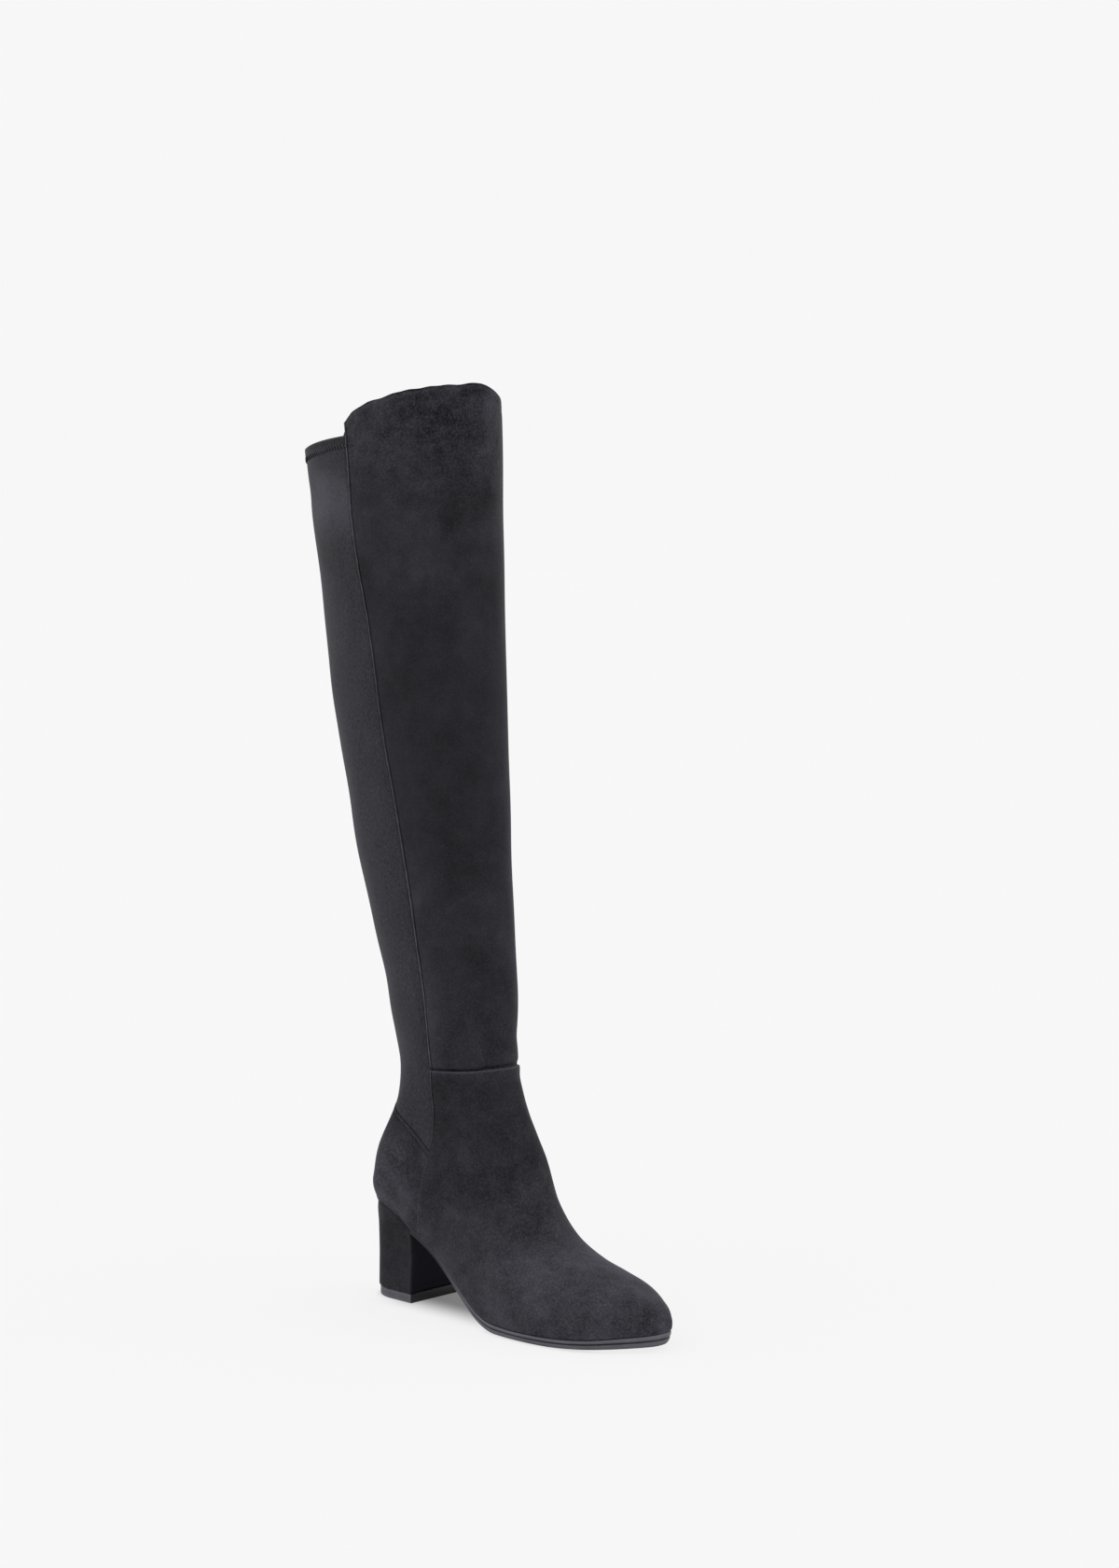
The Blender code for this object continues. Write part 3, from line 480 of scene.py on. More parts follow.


# Soft dents and ridges: centre, half-sizes, depth, and turn about y in degrees.
handDents = (
    (96, -22, 196, 30, 20, 9, 0.9, 12), (92, 10, 180, 26, 22, 7, 0.7, 10),
    (100, -8, 146, 26, 24, 8, 0.8, 40), (112, 4, 120, 22, 26, 8, 0.5, 45),
    (126, -30, 52, 14, 22, 16, 0.7, 30), (132, 8, 68, 11, 26, 14, 0.7, 40),
    (150, 0, 52, 10, 30, 12, 0.5, 50), (4, -32, 176, 26, 16, 11, 1.2, -20), (2, 30, 172, 26, 16, 10, 1, -20),
    (-14, -30, 214, 22, 20, 14, 0.8, -10), (-24, -34, 268, 20, 20, 24, 0.7, 0),
    (70, -34, 560, 30, 26, 16, 1, 10), (30, -50, 540, 26, 22, 22, -0.9, 0), (64, -40, 480, 24, 26, 26, 1, 0),
    (70, 20, 520, 24, 26, 26, 0.8, 0), (74, -24, 396, 24, 24, 22, 0.9, 0),
    (60, -40, 330, 26, 22, 26, -0.7, 0), (80, 12, 300, 24, 24, 24, 0.8, 0),
    (-86, -16, 530, 22, 30, 9, 1.3, 0), (-50, -46, 536, 18, 14, 12, 1, -30),
    (-66, -38, 476, 30, 24, 26, 1.1, 0), (-76, 14, 500, 24, 26, 20, 0.9, 0),
    (-44, -34, 400, 26, 20, 22, -0.8, 0), (-44, 30, 380, 26, 24, 28, 0.9, 0),
    (-40, -26, 330, 22, 22, 22, 0.9, 0), (-2, -34, 96, 18, 20, 9, -0.6, 10),
    (0, 32, 98, 18, 20, 9, -0.6, 10),
)
waves = np.random.default_rng(7)
waveTurns = waves.normal(size=(9, 3)) / np.array([26.0, 26.0, 46.0])
wavePhases = waves.uniform(0, 6.283, 9)


def sag(points):
    # how far the listed dents and a slight waviness take the skins in
    found = np.zeros(points.shape[:-1])
    for *spot, depth, turn in handDents:
        away = points - spot[:3]
        c, s = math.cos(math.radians(turn)), math.sin(math.radians(turn))
        x, z = c * away[..., 0] + s * away[..., 2], c * away[..., 2] - s * away[..., 0]
        found += depth * np.exp(-((x / spot[3]) ** 2 + (away[..., 1] / spot[4]) ** 2 + (z / spot[5]) ** 2))
    return found + 0.09 * np.sin(points @ waveTurns.T + wavePhases).sum(axis=-1) - 0.3


def easedSag(points, *edges):
    # the same, fading out towards edges, each given as a distance from it and how far the fade reaches
    found = sag(points)
    for distance, reach in edges:
        found = found * smoothStep(distance, 0, reach)
    return found


# Nap marks in the suede, lighter or darker where it lies another way, and among them painted light and shade,
# such as a highlight along the shaft's front edge and shade on the vamp's outer side: centre, half-sizes, and
# how much lighter or darker.
napAndShadeMarks = (
    (66, 4, 584, 10, 12, 12, 0.6), (66, 30, 566, 9, 9, 24, 0.3), (50, -34, 577, 14, 12, 9, -0.48),
    (70, -10, 562, 12, 10, 9, -0.15), (2, -50, 556, 14, 10, 11, 0.25), (40, -46, 560, 16, 12, 12, 0.2),
    (70, 0, 527, 10, 10, 12, -0.75), (65, -26, 511, 14, 12, 18, -0.42), (68, 6, 497, 8, 8, 10, -0.35),
    (20, -50, 540, 14, 12, 10, -0.15), (69, -10, 484, 9, 10, 9, 0.35), (60, -26, 470, 16, 14, 15, 0.45),
    (60, -26, 444, 12, 12, 10, 0.25), (40, -40, 484, 16, 12, 14, 0.15), (16, -48, 466, 16, 12, 10, -0.22),
    (70, -10, 442, 12, 14, 16, 0.15), (36, -42, 418, 16, 12, 14, 0.28), (60, -34, 408, 14, 12, 8, -0.18),
    (61, -29, 373, 15, 14, 15, -0.45), (68, -20, 350, 12, 12, 12, -0.32), (76, 4, 330, 10, 14, 24, 0.2),
    (48, -38, 302, 15, 12, 28, 0.3), (74, -20, 290, 12, 10, 15, -0.4), (82, -14, 226, 10, 12, 17, -0.42),
    (52, -34, 184, 10, 12, 20, 0.5), (66, -30, 208, 12, 12, 10, 0.2), (90, -7, 177, 12, 12, 10, -0.55),
    (96, -18, 120, 14, 12, 8, -0.34), (79, -32, 86, 15, 12, 15, -0.56), (115, -10, 84, 11, 12, 12, 0.6),
    (104, 6, 120, 14, 14, 12, 0.2), (131, -10, 63, 10, 12, 9, -0.52), (128, -32, 52, 14, 12, 9, 0.16),
    (96, -36, 40, 16, 10, 9, -0.15), (160, -26, 36, 14, 12, 10, 0.22), (140, -38, 22, 14, 8, 7, 0.1),
    (212, 4, 26, 10, 14, 10, -0.2), (46, -30, 104, 9, 9, 10, 0.28), (57, -30, 35, 12, 9, 8, 0.4),
    (-14, -18, 84, 14, 12, 12, 0.45), (8, -28, 102, 10, 10, 8, -0.32),
)


# sums the nap marks, painted light and shade among them
def brushedAndShaded(points, marks=napAndShadeMarks):
    found = np.zeros(points.shape[:-1])
    for *spot, amount in marks:
        found += amount * np.exp(-(((points - spot[:3]) / spot[3:]) ** 2).sum(axis=-1))
    return 0.7 * found


def newMesh(name, points, faces):
    mesh = bpy.data.meshes.new(name)
    mesh.from_pydata((np.asarray(points, float).reshape(-1, 3) * metre).tolist(), [], faces)
    return mesh


def paint(mesh, label, values):
    # one value a point, which a finish reads by its label
    mesh.attributes.new(label, "FLOAT", "POINT").data.foreach_set("value", np.asarray(values, float).ravel())


def placed(name, data):
    made = bpy.data.objects.new(name, data)
    bpy.context.scene.collection.objects.link(made)
    return made


def meshPiece(name, points, faces, finish, stands, slot="suede", body="boot", edges=None):
    mesh = newMesh(name, points, faces)
    # edges: one value a point that lightens or darkens the finish: wear, nap marks, and painted light and
    # shade
    if edges is not None:
        paint(mesh, "edge", edges)
    edit = bmesh.new()
    edit.from_mesh(mesh)
    bmesh.ops.remove_doubles(edit, verts=edit.verts, dist=0.004 * metre)
    bmesh.ops.dissolve_degenerate(edit, edges=edit.edges, dist=0.001 * metre)
    bmesh.ops.recalc_face_normals(edit, faces=edit.faces)
    edit.to_mesh(mesh)
    edit.free()
    mesh.shade_smooth()
    mesh.materials.append(finish)
    piece = placed(name, mesh)
    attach(piece, body)
    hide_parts(*stands)
    print(name, len(mesh.polygons), "faces")
    return piece


def gridPiece(name, points, finish, stands, skip=(), turned=False, **more):
    return meshPiece(name, points, gridFaces(*points.shape[:2], skip, turned), finish, stands, **more)


def gridFaces(rows, cols, skip=(), turned=False, start=0):
    k, j = np.meshgrid(np.arange(rows - 1), [c for c in range(cols - 1) if c not in skip], indexing="ij")
    a = start + k * cols + j
    quads = np.stack([a, a + 1, a + cols + 1, a + cols], axis=-1).reshape(-1, 4)
    return (quads[:, ::-1] if turned else quads).tolist()


def ringFaces(rings, count, start=0, closed=False):
    # faces between rings of count points, and back to the first ring where they close
    faces = []
    for k in range(rings if closed else rings - 1):
        for c in range(count):
            a, b = k * count + c, k * count + (c + 1) % count
            faces.append([start + point % (rings * count) for point in (a, b, b + count, a + count)])
    return faces


# Shader maths: a Signal wraps a socket, so that sums and products are written as plain expressions.
class Signal:
    def __init__(self, finish, socket):
        self.finish, self.socket = finish, socket

    def maths(self, operation, *values):
        return self.finish.node("ShaderNodeMath", {"operation": operation}, dict(enumerate(values)))

    def __add__(self, other):
        return self.maths("ADD", self, other)

    def __sub__(self, other):
        return self.maths("SUBTRACT", self, other)

    def __rsub__(self, other):
        return self.maths("SUBTRACT", other, self)

    def __mul__(self, other):
        return self.maths("MULTIPLY", self, other)

    __radd__, __rmul__ = __add__, __mul__

    def between(self, start, full):
        # 0 up to start, 1 from full on, smooth between; full may be the lower of the two
        settings = {"interpolation_type": "SMOOTHSTEP"}
        return self.finish.node("ShaderNodeMapRange", settings, {0: self, 1: start, 2: full})


class Finish:
    def __init__(self, name, constants):
        self.material = bpy.data.materials.new(name)
        self.material.use_nodes = True
        self.tree = self.material.node_tree
        self.shader = self.tree.nodes["Principled BSDF"]
        for label, value in constants.items():
            self.shader.inputs[label].default_value = value
        self.place = self.node("ShaderNodeTexCoord", {}, {}, "Object")

    def set(self, socket, value):
        if isinstance(value, Signal):
            self.tree.links.new(value.socket, socket)
        else:
            socket.default_value = value

    def node(self, kind, settings, inputs, output=0):
        made = self.tree.nodes.new(kind)
        for label, value in settings.items():
            setattr(made, label, value)
        for label, value in inputs.items():
            self.set(made.inputs[label], value)
        return Signal(self, made.outputs[output])

    def noise(self, scale, detail=2.0, roughness=0.5, curl=0.0):
        # the scale is in cells for each metre, and may differ along x, y and z
        scale = scale if isinstance(scale, tuple) else (scale,) * 3
        place = self.node("ShaderNodeMapping", {}, {"Vector": self.place, "Scale": scale})
        inputs = {"Vector": place, "Scale": 1.0, "Detail": detail, "Roughness": roughness, "Distortion": curl}
        return self.node("ShaderNodeTexNoise", {}, inputs)

    def wave(self, direction, scale, curl):
        inputs = {"Vector": self.place, "Scale": scale, "Distortion": curl, "Detail": 1.0}
        return self.node("ShaderNodeTexWave", {"wave_profile": "SIN", "bands_direction": direction}, inputs)

    def axis(self, index):
        return self.node("ShaderNodeSeparateXYZ", {}, {0: self.place}, index)

    def attribute(self, name):
        return self.node("ShaderNodeAttribute", {"attribute_name": name}, {}, "Fac")

    def zones(self, level, rows):
        # a level, changed by each row's amount inside all its fades
        for amount, *fades in rows:
            for axis, start, full in fades:
                amount = self.axis(axis).between(start, full) * amount
            level = level + amount
        return level

    def mixed(self, factor, first, second):
        colours = {0: factor, 6: first, 7: second}
        return self.node("ShaderNodeMix", {"data_type": "RGBA"}, colours, 2)

    def colour(self, value):
        self.set(self.shader.inputs["Base Color"], value)

    def shaded(self, tone, dark, light, blue=1.2):
        self.colour(self.mixed(tone, grey(dark, blue), grey(light, blue)))

    def roughness(self, value):
        self.set(self.shader.inputs["Roughness"], value)

    def relief(self, height, distance, strength=1.0):
        # distance in millimetres
        inputs = {"Strength": strength, "Distance": distance * metre, "Height": height}
        self.set(self.shader.inputs["Normal"], self.node("ShaderNodeBump", {}, inputs))


def grey(value, blue=1.2, green=0.985):
    # a neutral, a little bluish unless told otherwise
    return (value, value * green, value * blue, 1.0)


sheenTint = (0.5, 0.5, 0.6, 1.0)
suedeLook = {
    "fixed": {
        "Roughness": 0.92, "Specular IOR Level": 0.12, "Sheen Weight": 0.16, "Sheen Roughness": 0.36,
        "Sheen Tint": sheenTint,
    },
    "colour": 0.0227,
    "patches": (22.0, 22.0, 15.4),  # cells for each metre, along x, y and z
    "nap": (88.0, 88.0, 110.0),
    "grain": 800.0,
    "amounts": (1.8, 1.3, 0.72, 0.58),  # of the patches, nap and grain, and of nap and grain together
    # zones: an amount, then its fades, each an axis and the metres along it where it starts and is full
    # level: painted light and shade: the toe lighter where light falls from above, the counter lighter on its
    # lit side, the ankle and the shaft's middle darker where they lie in shade
    "level": (
        (0.66, (0, 0.07, 0.17), (2, 0.12, 0.04)),  # toe
        (1.02, (0, 0.05, -0.01), (2, 0.05, 0.06), (2, 0.13, 0.09)),  # counter
        (-0.26, (2, 0.085, 0.13), (2, 0.158, 0.150)),  # ankle
        (-0.27, (2, 0.24, 0.34), (2, 0.52, 0.40)),  # middle of the shaft
        (0.16, (2, 0.50, 0.60)),  # top
    ),
    "patchy": ((0.7, (2, 0.50, 0.60)),),
    "fine": ((0.8, (2, 0.50, 0.58)), (0.5, (2, 0.24, 0.12))),
}
stretchLook = {
    "fixed": {
        "Roughness": 0.75, "Specular IOR Level": 0.15, "Sheen Weight": 0.10, "Sheen Roughness": 0.4,
        "Sheen Tint": sheenTint,
    },
    "colour": 0.0245,
    "patches": (24.0, 24.0, 15.0),
    "streaks": (60.0, 60.0, 22.0),
    "grain": (850.0, 850.0, 520.0),
    "rib": 420.0,
    "amounts": (0.9, 0.5, 2.0, 0.14),  # of the patches, streaks, grain and rib
    "bloom": ((0.75, (2, 0.49, 0.525), (2, 0.553, 0.535)),),
}
brightest = 4  # colours are mixed from black up to this many times a finish's own


def makeSuede(name, lift=1.0):
    look = suedeLook
    made = Finish(name, look["fixed"])
    patches, nap = made.noise(look["patches"], 4.0, 0.6), made.noise(look["nap"], 4.0, 0.65)
    grain = made.noise(look["grain"], 2.0, 0.6, 0.15).between(0.35, 0.8)  # mostly low, with light fibres
    patchAmount, napAmount, grainAmount, fineAmount = look["amounts"]
    fine = napAmount * (nap - 0.5) + grainAmount * (grain - 0.28)
    # the edge attribute adds wear, nap marks and painted light and shade to the tone
    mottleAndShading = 1 + made.zones(patchAmount, look["patchy"]) * (patches - 0.5) + made.attribute("edge")
    mottleAndShading = mottleAndShading + fine * made.zones(fineAmount, look["fine"])
    made.shaded(made.zones(1, look["level"]) * mottleAndShading * (lift / brightest), 0.0, look["colour"] * brightest)
    made.roughness(0.84 + 0.14 * nap)
    made.relief(0.3 * grain + 0.4 * nap, 0.3, 0.35)
    return made.material


def makeStretch():
    look = stretchLook
    made = Finish("stretchKnit", look["fixed"])
    patches, streaks = made.noise(look["patches"], 3.0, 0.55), made.noise(look["streaks"], 3.0, 0.6)
    grain, rib = made.noise(look["grain"], 2.0, 0.6), made.wave("Z", look["rib"], 0.8)
    tone = 1
    for amount, pattern in zip(look["amounts"], (patches, streaks, grain, rib)):
        tone = tone + amount * (pattern - 0.5)
    # the edge attribute adds wear and painted shade to the knit's tone
    tone = tone + made.zones(0, look["bloom"]) * patches.between(0.3, 0.6) + made.attribute("edge")
    made.shaded(tone * (1 / brightest), 0.0, look["colour"] * brightest)
    made.roughness(0.66 + 0.16 * patches)
    made.relief(0.5 * rib + 0.5 * grain, 0.14, 0.6)
    return made.material


def makeRubber(name, dark, light, scuffs=0.35, gloss=0.3, blue=1.2):
    made = Finish(name, {"Roughness": 0.5, "Specular IOR Level": gloss})
    cloud, grit = made.noise(60.0, 3.0, 0.6), made.noise(1500.0, 2.0, 0.6)
    marks = made.noise((300.0, 300.0, 2400.0), 3.0, 0.65)
    tone = 0.45 + 0.5 * (cloud - 0.5) + scuffs * (marks - 0.5) + 0.35 * (grit - 0.5)
    # the edge attribute adds wear and painted light and shade to the rubber's tone
    made.shaded((tone + 0.8 * made.attribute("edge")).between(0.0, 1.0), dark, light, blue)
    made.roughness(0.42 + 0.25 * cloud)
    made.relief(0.5 * grit + 0.5 * marks, 0.12, 0.5)
    return made.material


def makeCloth(name, dark, light, scale):
    made = Finish(name, {"Roughness": 0.85, "Specular IOR Level": 0.2, "Sheen Weight": 0.1})
    weave, cloud = made.wave("DIAGONAL", scale, 1.0), made.noise(45.0, 3.0, 0.6)
    made.shaded((0.5 + 0.4 * (weave - 0.5) + 0.6 * (cloud - 0.5)).between(0.0, 1.0), dark, light)
    made.roughness(0.8 + 0.15 * cloud)
    made.relief(weave, 0.12, 0.5)
    return made.material


def makeMetal(name, dark, light, rough):
    made = Finish(name, {"Metallic": 1.0})
    cloud, scratches = made.noise(260.0, 3.0, 0.6), made.noise((3000.0, 3000.0, 260.0), 2.0, 0.6)
    made.shaded((0.5 + 0.6 * (cloud - 0.5) + 0.5 * (scratches - 0.5)).between(0.0, 1.0), dark, light)
    made.roughness(rough + 0.2 * cloud)
    made.relief(scratches, 0.03, 0.4)
    return made.material


suede = makeSuede("blackSuede")
# the heel cover's suede is the same suede made darker, as painted shade
shadedHeelSuede = makeSuede("shadedHeelSuede", 0.65)
stretch = makeStretch()
soleRubber = makeRubber("soleRubber", 0.008, 0.110)
topPieceRubber = makeRubber("topPieceRubber", 0.010, 0.122, 0.5)
# the heel's breast: near-black, and darker still as painted shade under the arch
darkShadedBreast = makeRubber("darkShadedBreast", 0.003, 0.0095, 0.2, 0.06, 1.9)
liningCloth = makeCloth("liningCloth", 0.010, 0.022, 700.0)
sockCloth = makeCloth("sockCloth", 0.012, 0.026, 500.0)
tapeCloth = makeCloth("zipTapeCloth", 0.004, 0.012, 1400.0)
thread = makeCloth("blackThread", 0.004, 0.012, 2600.0)
paleThread = makeCloth("greyThread", 0.035, 0.075, 2600.0)
toothMetal = makeMetal("toothMetal", 0.025, 0.09, 0.25)
sliderMetal = makeMetal("sliderMetal", 0.03, 0.09, 0.16)
print("materials made")

# Vamp: the suede of the foot, from the toe up to the ankle seam, lapping over the shaft.
vampLook = {
    "columns": 46,
    "rows": ((0, 0.12), (2, 0.5), (12, 1.4), (60, 2.2)),  # places and the spacing there
    "proud": 0.5,
    "roll": 1.2,
    "seamDrop": 1.3,
    "soleRoll": 1.6,
    "soleDrop": 0.25,
    # a painted highlight where light catches the top edge's roll at the ankle seam
    "topHighlight": 1.1,
    "soleWear": 0.35,
}


def ankleEnds(columns):
    return crossing(columns, frontShares, True, ankleHeight, 60.0, topPlace * 0.6)


def planInward(line):
    # level unit vectors pointing in from a feather line
    step = np.gradient(line[:, :2], axis=0)
    square = np.stack([-step[:, 1], step[:, 0]], axis=1)
    square /= np.maximum(np.linalg.norm(square, axis=1, keepdims=True), 1e-9)
    towards = np.stack([90 - line[:, 0], middleOf(line[:, 0]) - line[:, 1]], axis=1) * (0.02, 1.0)
    square *= np.sign((square * towards).sum(axis=1))[:, None]
    return np.column_stack([square, np.zeros(len(line))])


def tuckReach(line, least=0.0):
    # how far a skin's foot is turned in over the sole, less where the boot is narrow
    return np.minimum(3.0, 0.7 * np.abs(line[:, 1] - middleOf(line[:, 0])) + least)[:, None]


def tucked(points, normals, column, onSeam):
    # an extra column beyond an edge: in over the sole, or down behind the seam
    line = points[:, column]
    inward = planInward(line) * tuckReach(line, 0.02)
    return np.where(onSeam[:, None], line - normals[:, column] * 1.3, line + inward)


def makeVamp():
    look = vampLook
    columns = skinColumns(look["columns"])
    ends = ankleEnds(columns)
    places = closeRows(spacedRows(0.0, ends.max(), look["rows"]), ends.max())[:, None] * ends
    u, beside = readColumns(places, columns, frontShares, True)
    points, normals = framesAt(places, u)
    down = walkedDown(points)
    below = down[-1] - down
    edge = sideOf(columns, shareAt(frontShares, places, 0), shareAt(frontShares, places, 1))
    onSeam = smoothStep(edge, 0.0, 0.03)
    lapped, lap = lappedAt(points, columns)
    depth = onSeam * (lap * rolledEdge(beside, look["roll"], look["seamDrop"]) + lapped * seamSunk(beside))
    depth += (1 - onSeam) * rolledEdge(beside, look["soleRoll"], look["soleDrop"]) * smoothStep(places, 0, 4)
    depth -= look["proud"] * (1 - smoothStep(below, 1.5, 9.0))
    depth = np.maximum(depth, rolledEdge(below, 0.9, 1.1) - look["proud"])
    depth += easedSag(points, (beside, 14), (places - 4, 36))
    # the top edge gets a painted highlight along its roll
    wearAndShading = brushedAndShaded(points) + look["topHighlight"] * hump(below - 0.3, 0.7)
    wearAndShading += look["soleWear"] * (1 - onSeam) * hump(beside, 1.0)
    wearAndShading += onSeam * (0.45 + 0.55 * lapped) * seamWearAndShading(beside, points[..., 2])
    points = points - normals * depth[..., None]
    sides = [tucked(points, normals, column, edge[:, column] > 0.004) for column in (0, -1)]
    normals = bordered(normals, normals[:, 0], normals[:, -1])
    points, wearAndShading = underEdge(bordered(points, *sides), normals, bordered(wearAndShading))
    gridPiece("vamp", points, suede, ("upper",), edges=wearAndShading)


makeVamp()

# Shaft front: the suede panel from the ankle seam to the collar, folded in at the top edge.
shaftLook = {
    "columns": 46,
    "tuck": (2.5, 1.2, 0.5, 0.2),  # rows tucked in under the vamp, as distances below the ankle seam
    "tuckDepth": 0.95,
    "gaps": (0.5, 2.4, 2.4, 0.8, 0.6),  # of its rows, closer together at both ends
    "fold": 0.95,
    "turns": 9,
    "facing": (0.0, 0.8, 2.0, 4.0, 6.5, 9.5, 11.8, 13.0),  # rows down the inside, below the fold
    "roll": 1.1,
    "seamDrop": 1.2,
    "hem": (7.0, 2.0, 0.16),  # a shallow channel below the rim: how far down, half-width, depth
    "hemWear": 0.45,
    "seamSide": 0.22,
    "dark": 0.8,  # painted shade at the ankle seam's foot, and a darker line at the rim's fold
}


def makeShaftFront():
    look = shaftLook
    columns = skinColumns(look["columns"])
    starts = ankleEnds(columns)
    ends = crossing(columns, frontShares, True, collarHeight, topPlace * 0.5, topPlace)
    above, turned, count = foldedRows(look, starts, ends)
    places = np.concatenate([starts - np.array(look["tuck"])[:, None], above])
    turned = np.concatenate([np.zeros(len(look["tuck"])), turned])
    turned[-1] -= 0.3
    u, beside = readColumns(places, columns, frontShares, True)
    points, normals = framesAt(places, u)
    onFace = (np.arange(len(places)) < count + len(look["tuck"])).astype(float)[:, None]
    above, below = walkedDown(points) - look["tuck"][0], np.abs(ends - places)
    hemDown, hemHalf, hemDepth = look["hem"]
    depth = look["tuckDepth"] * (1 - smoothStep(above, 0.2, 4.5)) * onFace + seamSunk(beside)
    depth += rolledEdge(beside, look["roll"], look["seamDrop"]) * np.maximum(onFace, 0.35)
    depth += easedSag(points, (beside, 12), (above, 16), (below, 10))
    depth += hemDepth * hump(below - hemDown, hemHalf) * onFace
    z = points[..., 2]
    wearAndShading = brushedAndShaded(points) + seamWearAndShading(beside, z) + look["hemWear"] * hump(below - 2.4, 1.8) * onFace
    wearAndShading += look["seamSide"] * (1 - smoothStep(beside, 3.0, 26.0)) * (1 - smoothStep(z, 400.0, 480.0))
    # painted shade on the shaft's foot just above the ankle seam, under the vamp's edge; and a darker line
    # along the rim's fold
    wearAndShading -= look["dark"] * (hump(np.where(onFace > 0, above - 0.5, 9.0), 0.8) + hump(below, 0.9))
    points = points - normals * (depth + turned[:, None])[..., None]
    sides = [points[:, c] - normals[:, c] * np.where(onFace, 1.0, 0.02) for c in (0, -1)]
    gridPiece("shaftFront", bordered(points, *sides), suede, ("upper",), edges=bordered(wearAndShading))


makeShaftFront()

# Stretch panel: the knit back of the shaft, from the V seam to its hem, running under the suede beside it.
panelLook = {
    "columns": 34,
    "depth": 0.3,
    "under": 1.6,  # how far it runs under the suede, away from the zip
    "lapDepth": 0.8,
    "vTuck": 3.0,
    "gaps": (0.6, 2.6, 2.2, 0.8, 0.5),  # of its rows
    "fold": 0.6,
    "turns": 8,
    "facing": (0.0, 1.0, 3.0, 6.0, 9.0),
    "hem": 7.0,
    "marks": ((-44, -42, 524, 16, 14, 13, 0.86), (-40, -44, 488, 18, 14, 14, -0.38)),  # laid out as the suede's nap marks; the darker one is painted shade
}


def panelOffset(z, side):
    gap = side * zipGap(z)
    return panelLook["under"] * (1 - gap / cuts["zipHalf"]) - gap


def makeStretchPanel():
    look = panelLook
    shares = seamShares(panelOffset)
    columns = skinColumns(look["columns"])
    foot = crossing(columns, shares, False, lambda x, y: vHeight(x, y) - look["vTuck"], 120.0, topPlace * 0.7)
    ends = crossing(columns, shares, False, panelHeight, topPlace * 0.5, topPlace)
    places, turned, count = foldedRows(look, foot, ends)
    u, beside = readColumns(places, columns, shares, False)
    points, normals = framesAt(places, u)
    onFace = (np.arange(len(places)) < count).astype(float)[:, None]
    gap = sideOf(columns, 0.0, zipGap(points[..., 2])) / cuts["zipHalf"]
    above, below = walkedDown(points), np.abs(ends - places)
    under = 1 - smoothStep(beside, look["under"] - 0.2, look["under"] + 1.3)
    lap = look["depth"] + (look["lapDepth"] - look["depth"]) * under
    depth = lap * (1 - gap) + (look["depth"] + rolledEdge(beside, 1.2, 1.2)) * gap
    over = cuts["vAcross"] * (points[..., 2] - vHeight(points[..., 0], points[..., 1]))
    depth += 0.8 * (1 - smoothStep(over, 0.0, 1.8)) * onFace
    depth += easedSag(points, (beside, 12), (above, 12), (below, 10))
    # the hem stands proud above a groove, and is worn along both of its edges
    past = below - look["hem"]
    depth += (0.28 * hump(past, 0.8) - 0.5 * (1 - smoothStep(past, -0.8, 0.8))) * onFace
    wearAndShading = brushedAndShaded(points, look["marks"]) + 0.5 * hump(below - 0.6, 0.6)
    # painted shade where the knit runs in under the suede's edge
    wearAndShading -= 0.1 * hump(beside - look["under"], 0.6)
    dull = (1 - smoothStep(past, -0.6, 0.4)) * smoothStep(below, 0.8, 1.6)
    wearAndShading += (0.7 * hump(past, 1.7) - 0.35 * dull) * onFace
    points = points - normals * (depth + turned[:, None])[..., None]
    gridPiece("stretchPanel", points, stretch, ("back_panel",), turned=True, slot="stretch", edges=wearAndShading)
    return points, normals, below


panelGrid = makeStretchPanel()


def soleLine(x):
    # height of the line where the upper meets the sole, and its slope
    xs, zs = sectionCurve(np.linspace(0, lastOnSole, 500))[::-1, :2].T
    height, ahead, behind = (np.interp(x + step, xs, zs) for step in (0, 3, -3))
    return height, (ahead - behind) / 6


def seatLine(x):
    # the heel cover's top edge, which rises over the foot of the counter towards the back
    return soleLine(x)[0] - 0.1 + counterLook["seatRise"] * (1 - smoothStep(x, -14.0, 26.0))


# Counter: the suede round the heel, below the V seam and behind the side seams.
counterLook = {
    "columns": 64,
    "gaps": (0.4, 2.0, 1.2, 0.3, 0.3, 1.8),  # of its rows, closest where it turns up off the sole
    "roll": 1.2,
    "seamDrop": 1.3,
    "proud": 0.25,
    "tuckIn": 2.2,  # of its foot into the heel cover
    "seatRise": 6.0,
    "eased": (33.0, 112.0, 8),  # x, z and how many times its grid is evened out, under the V
}


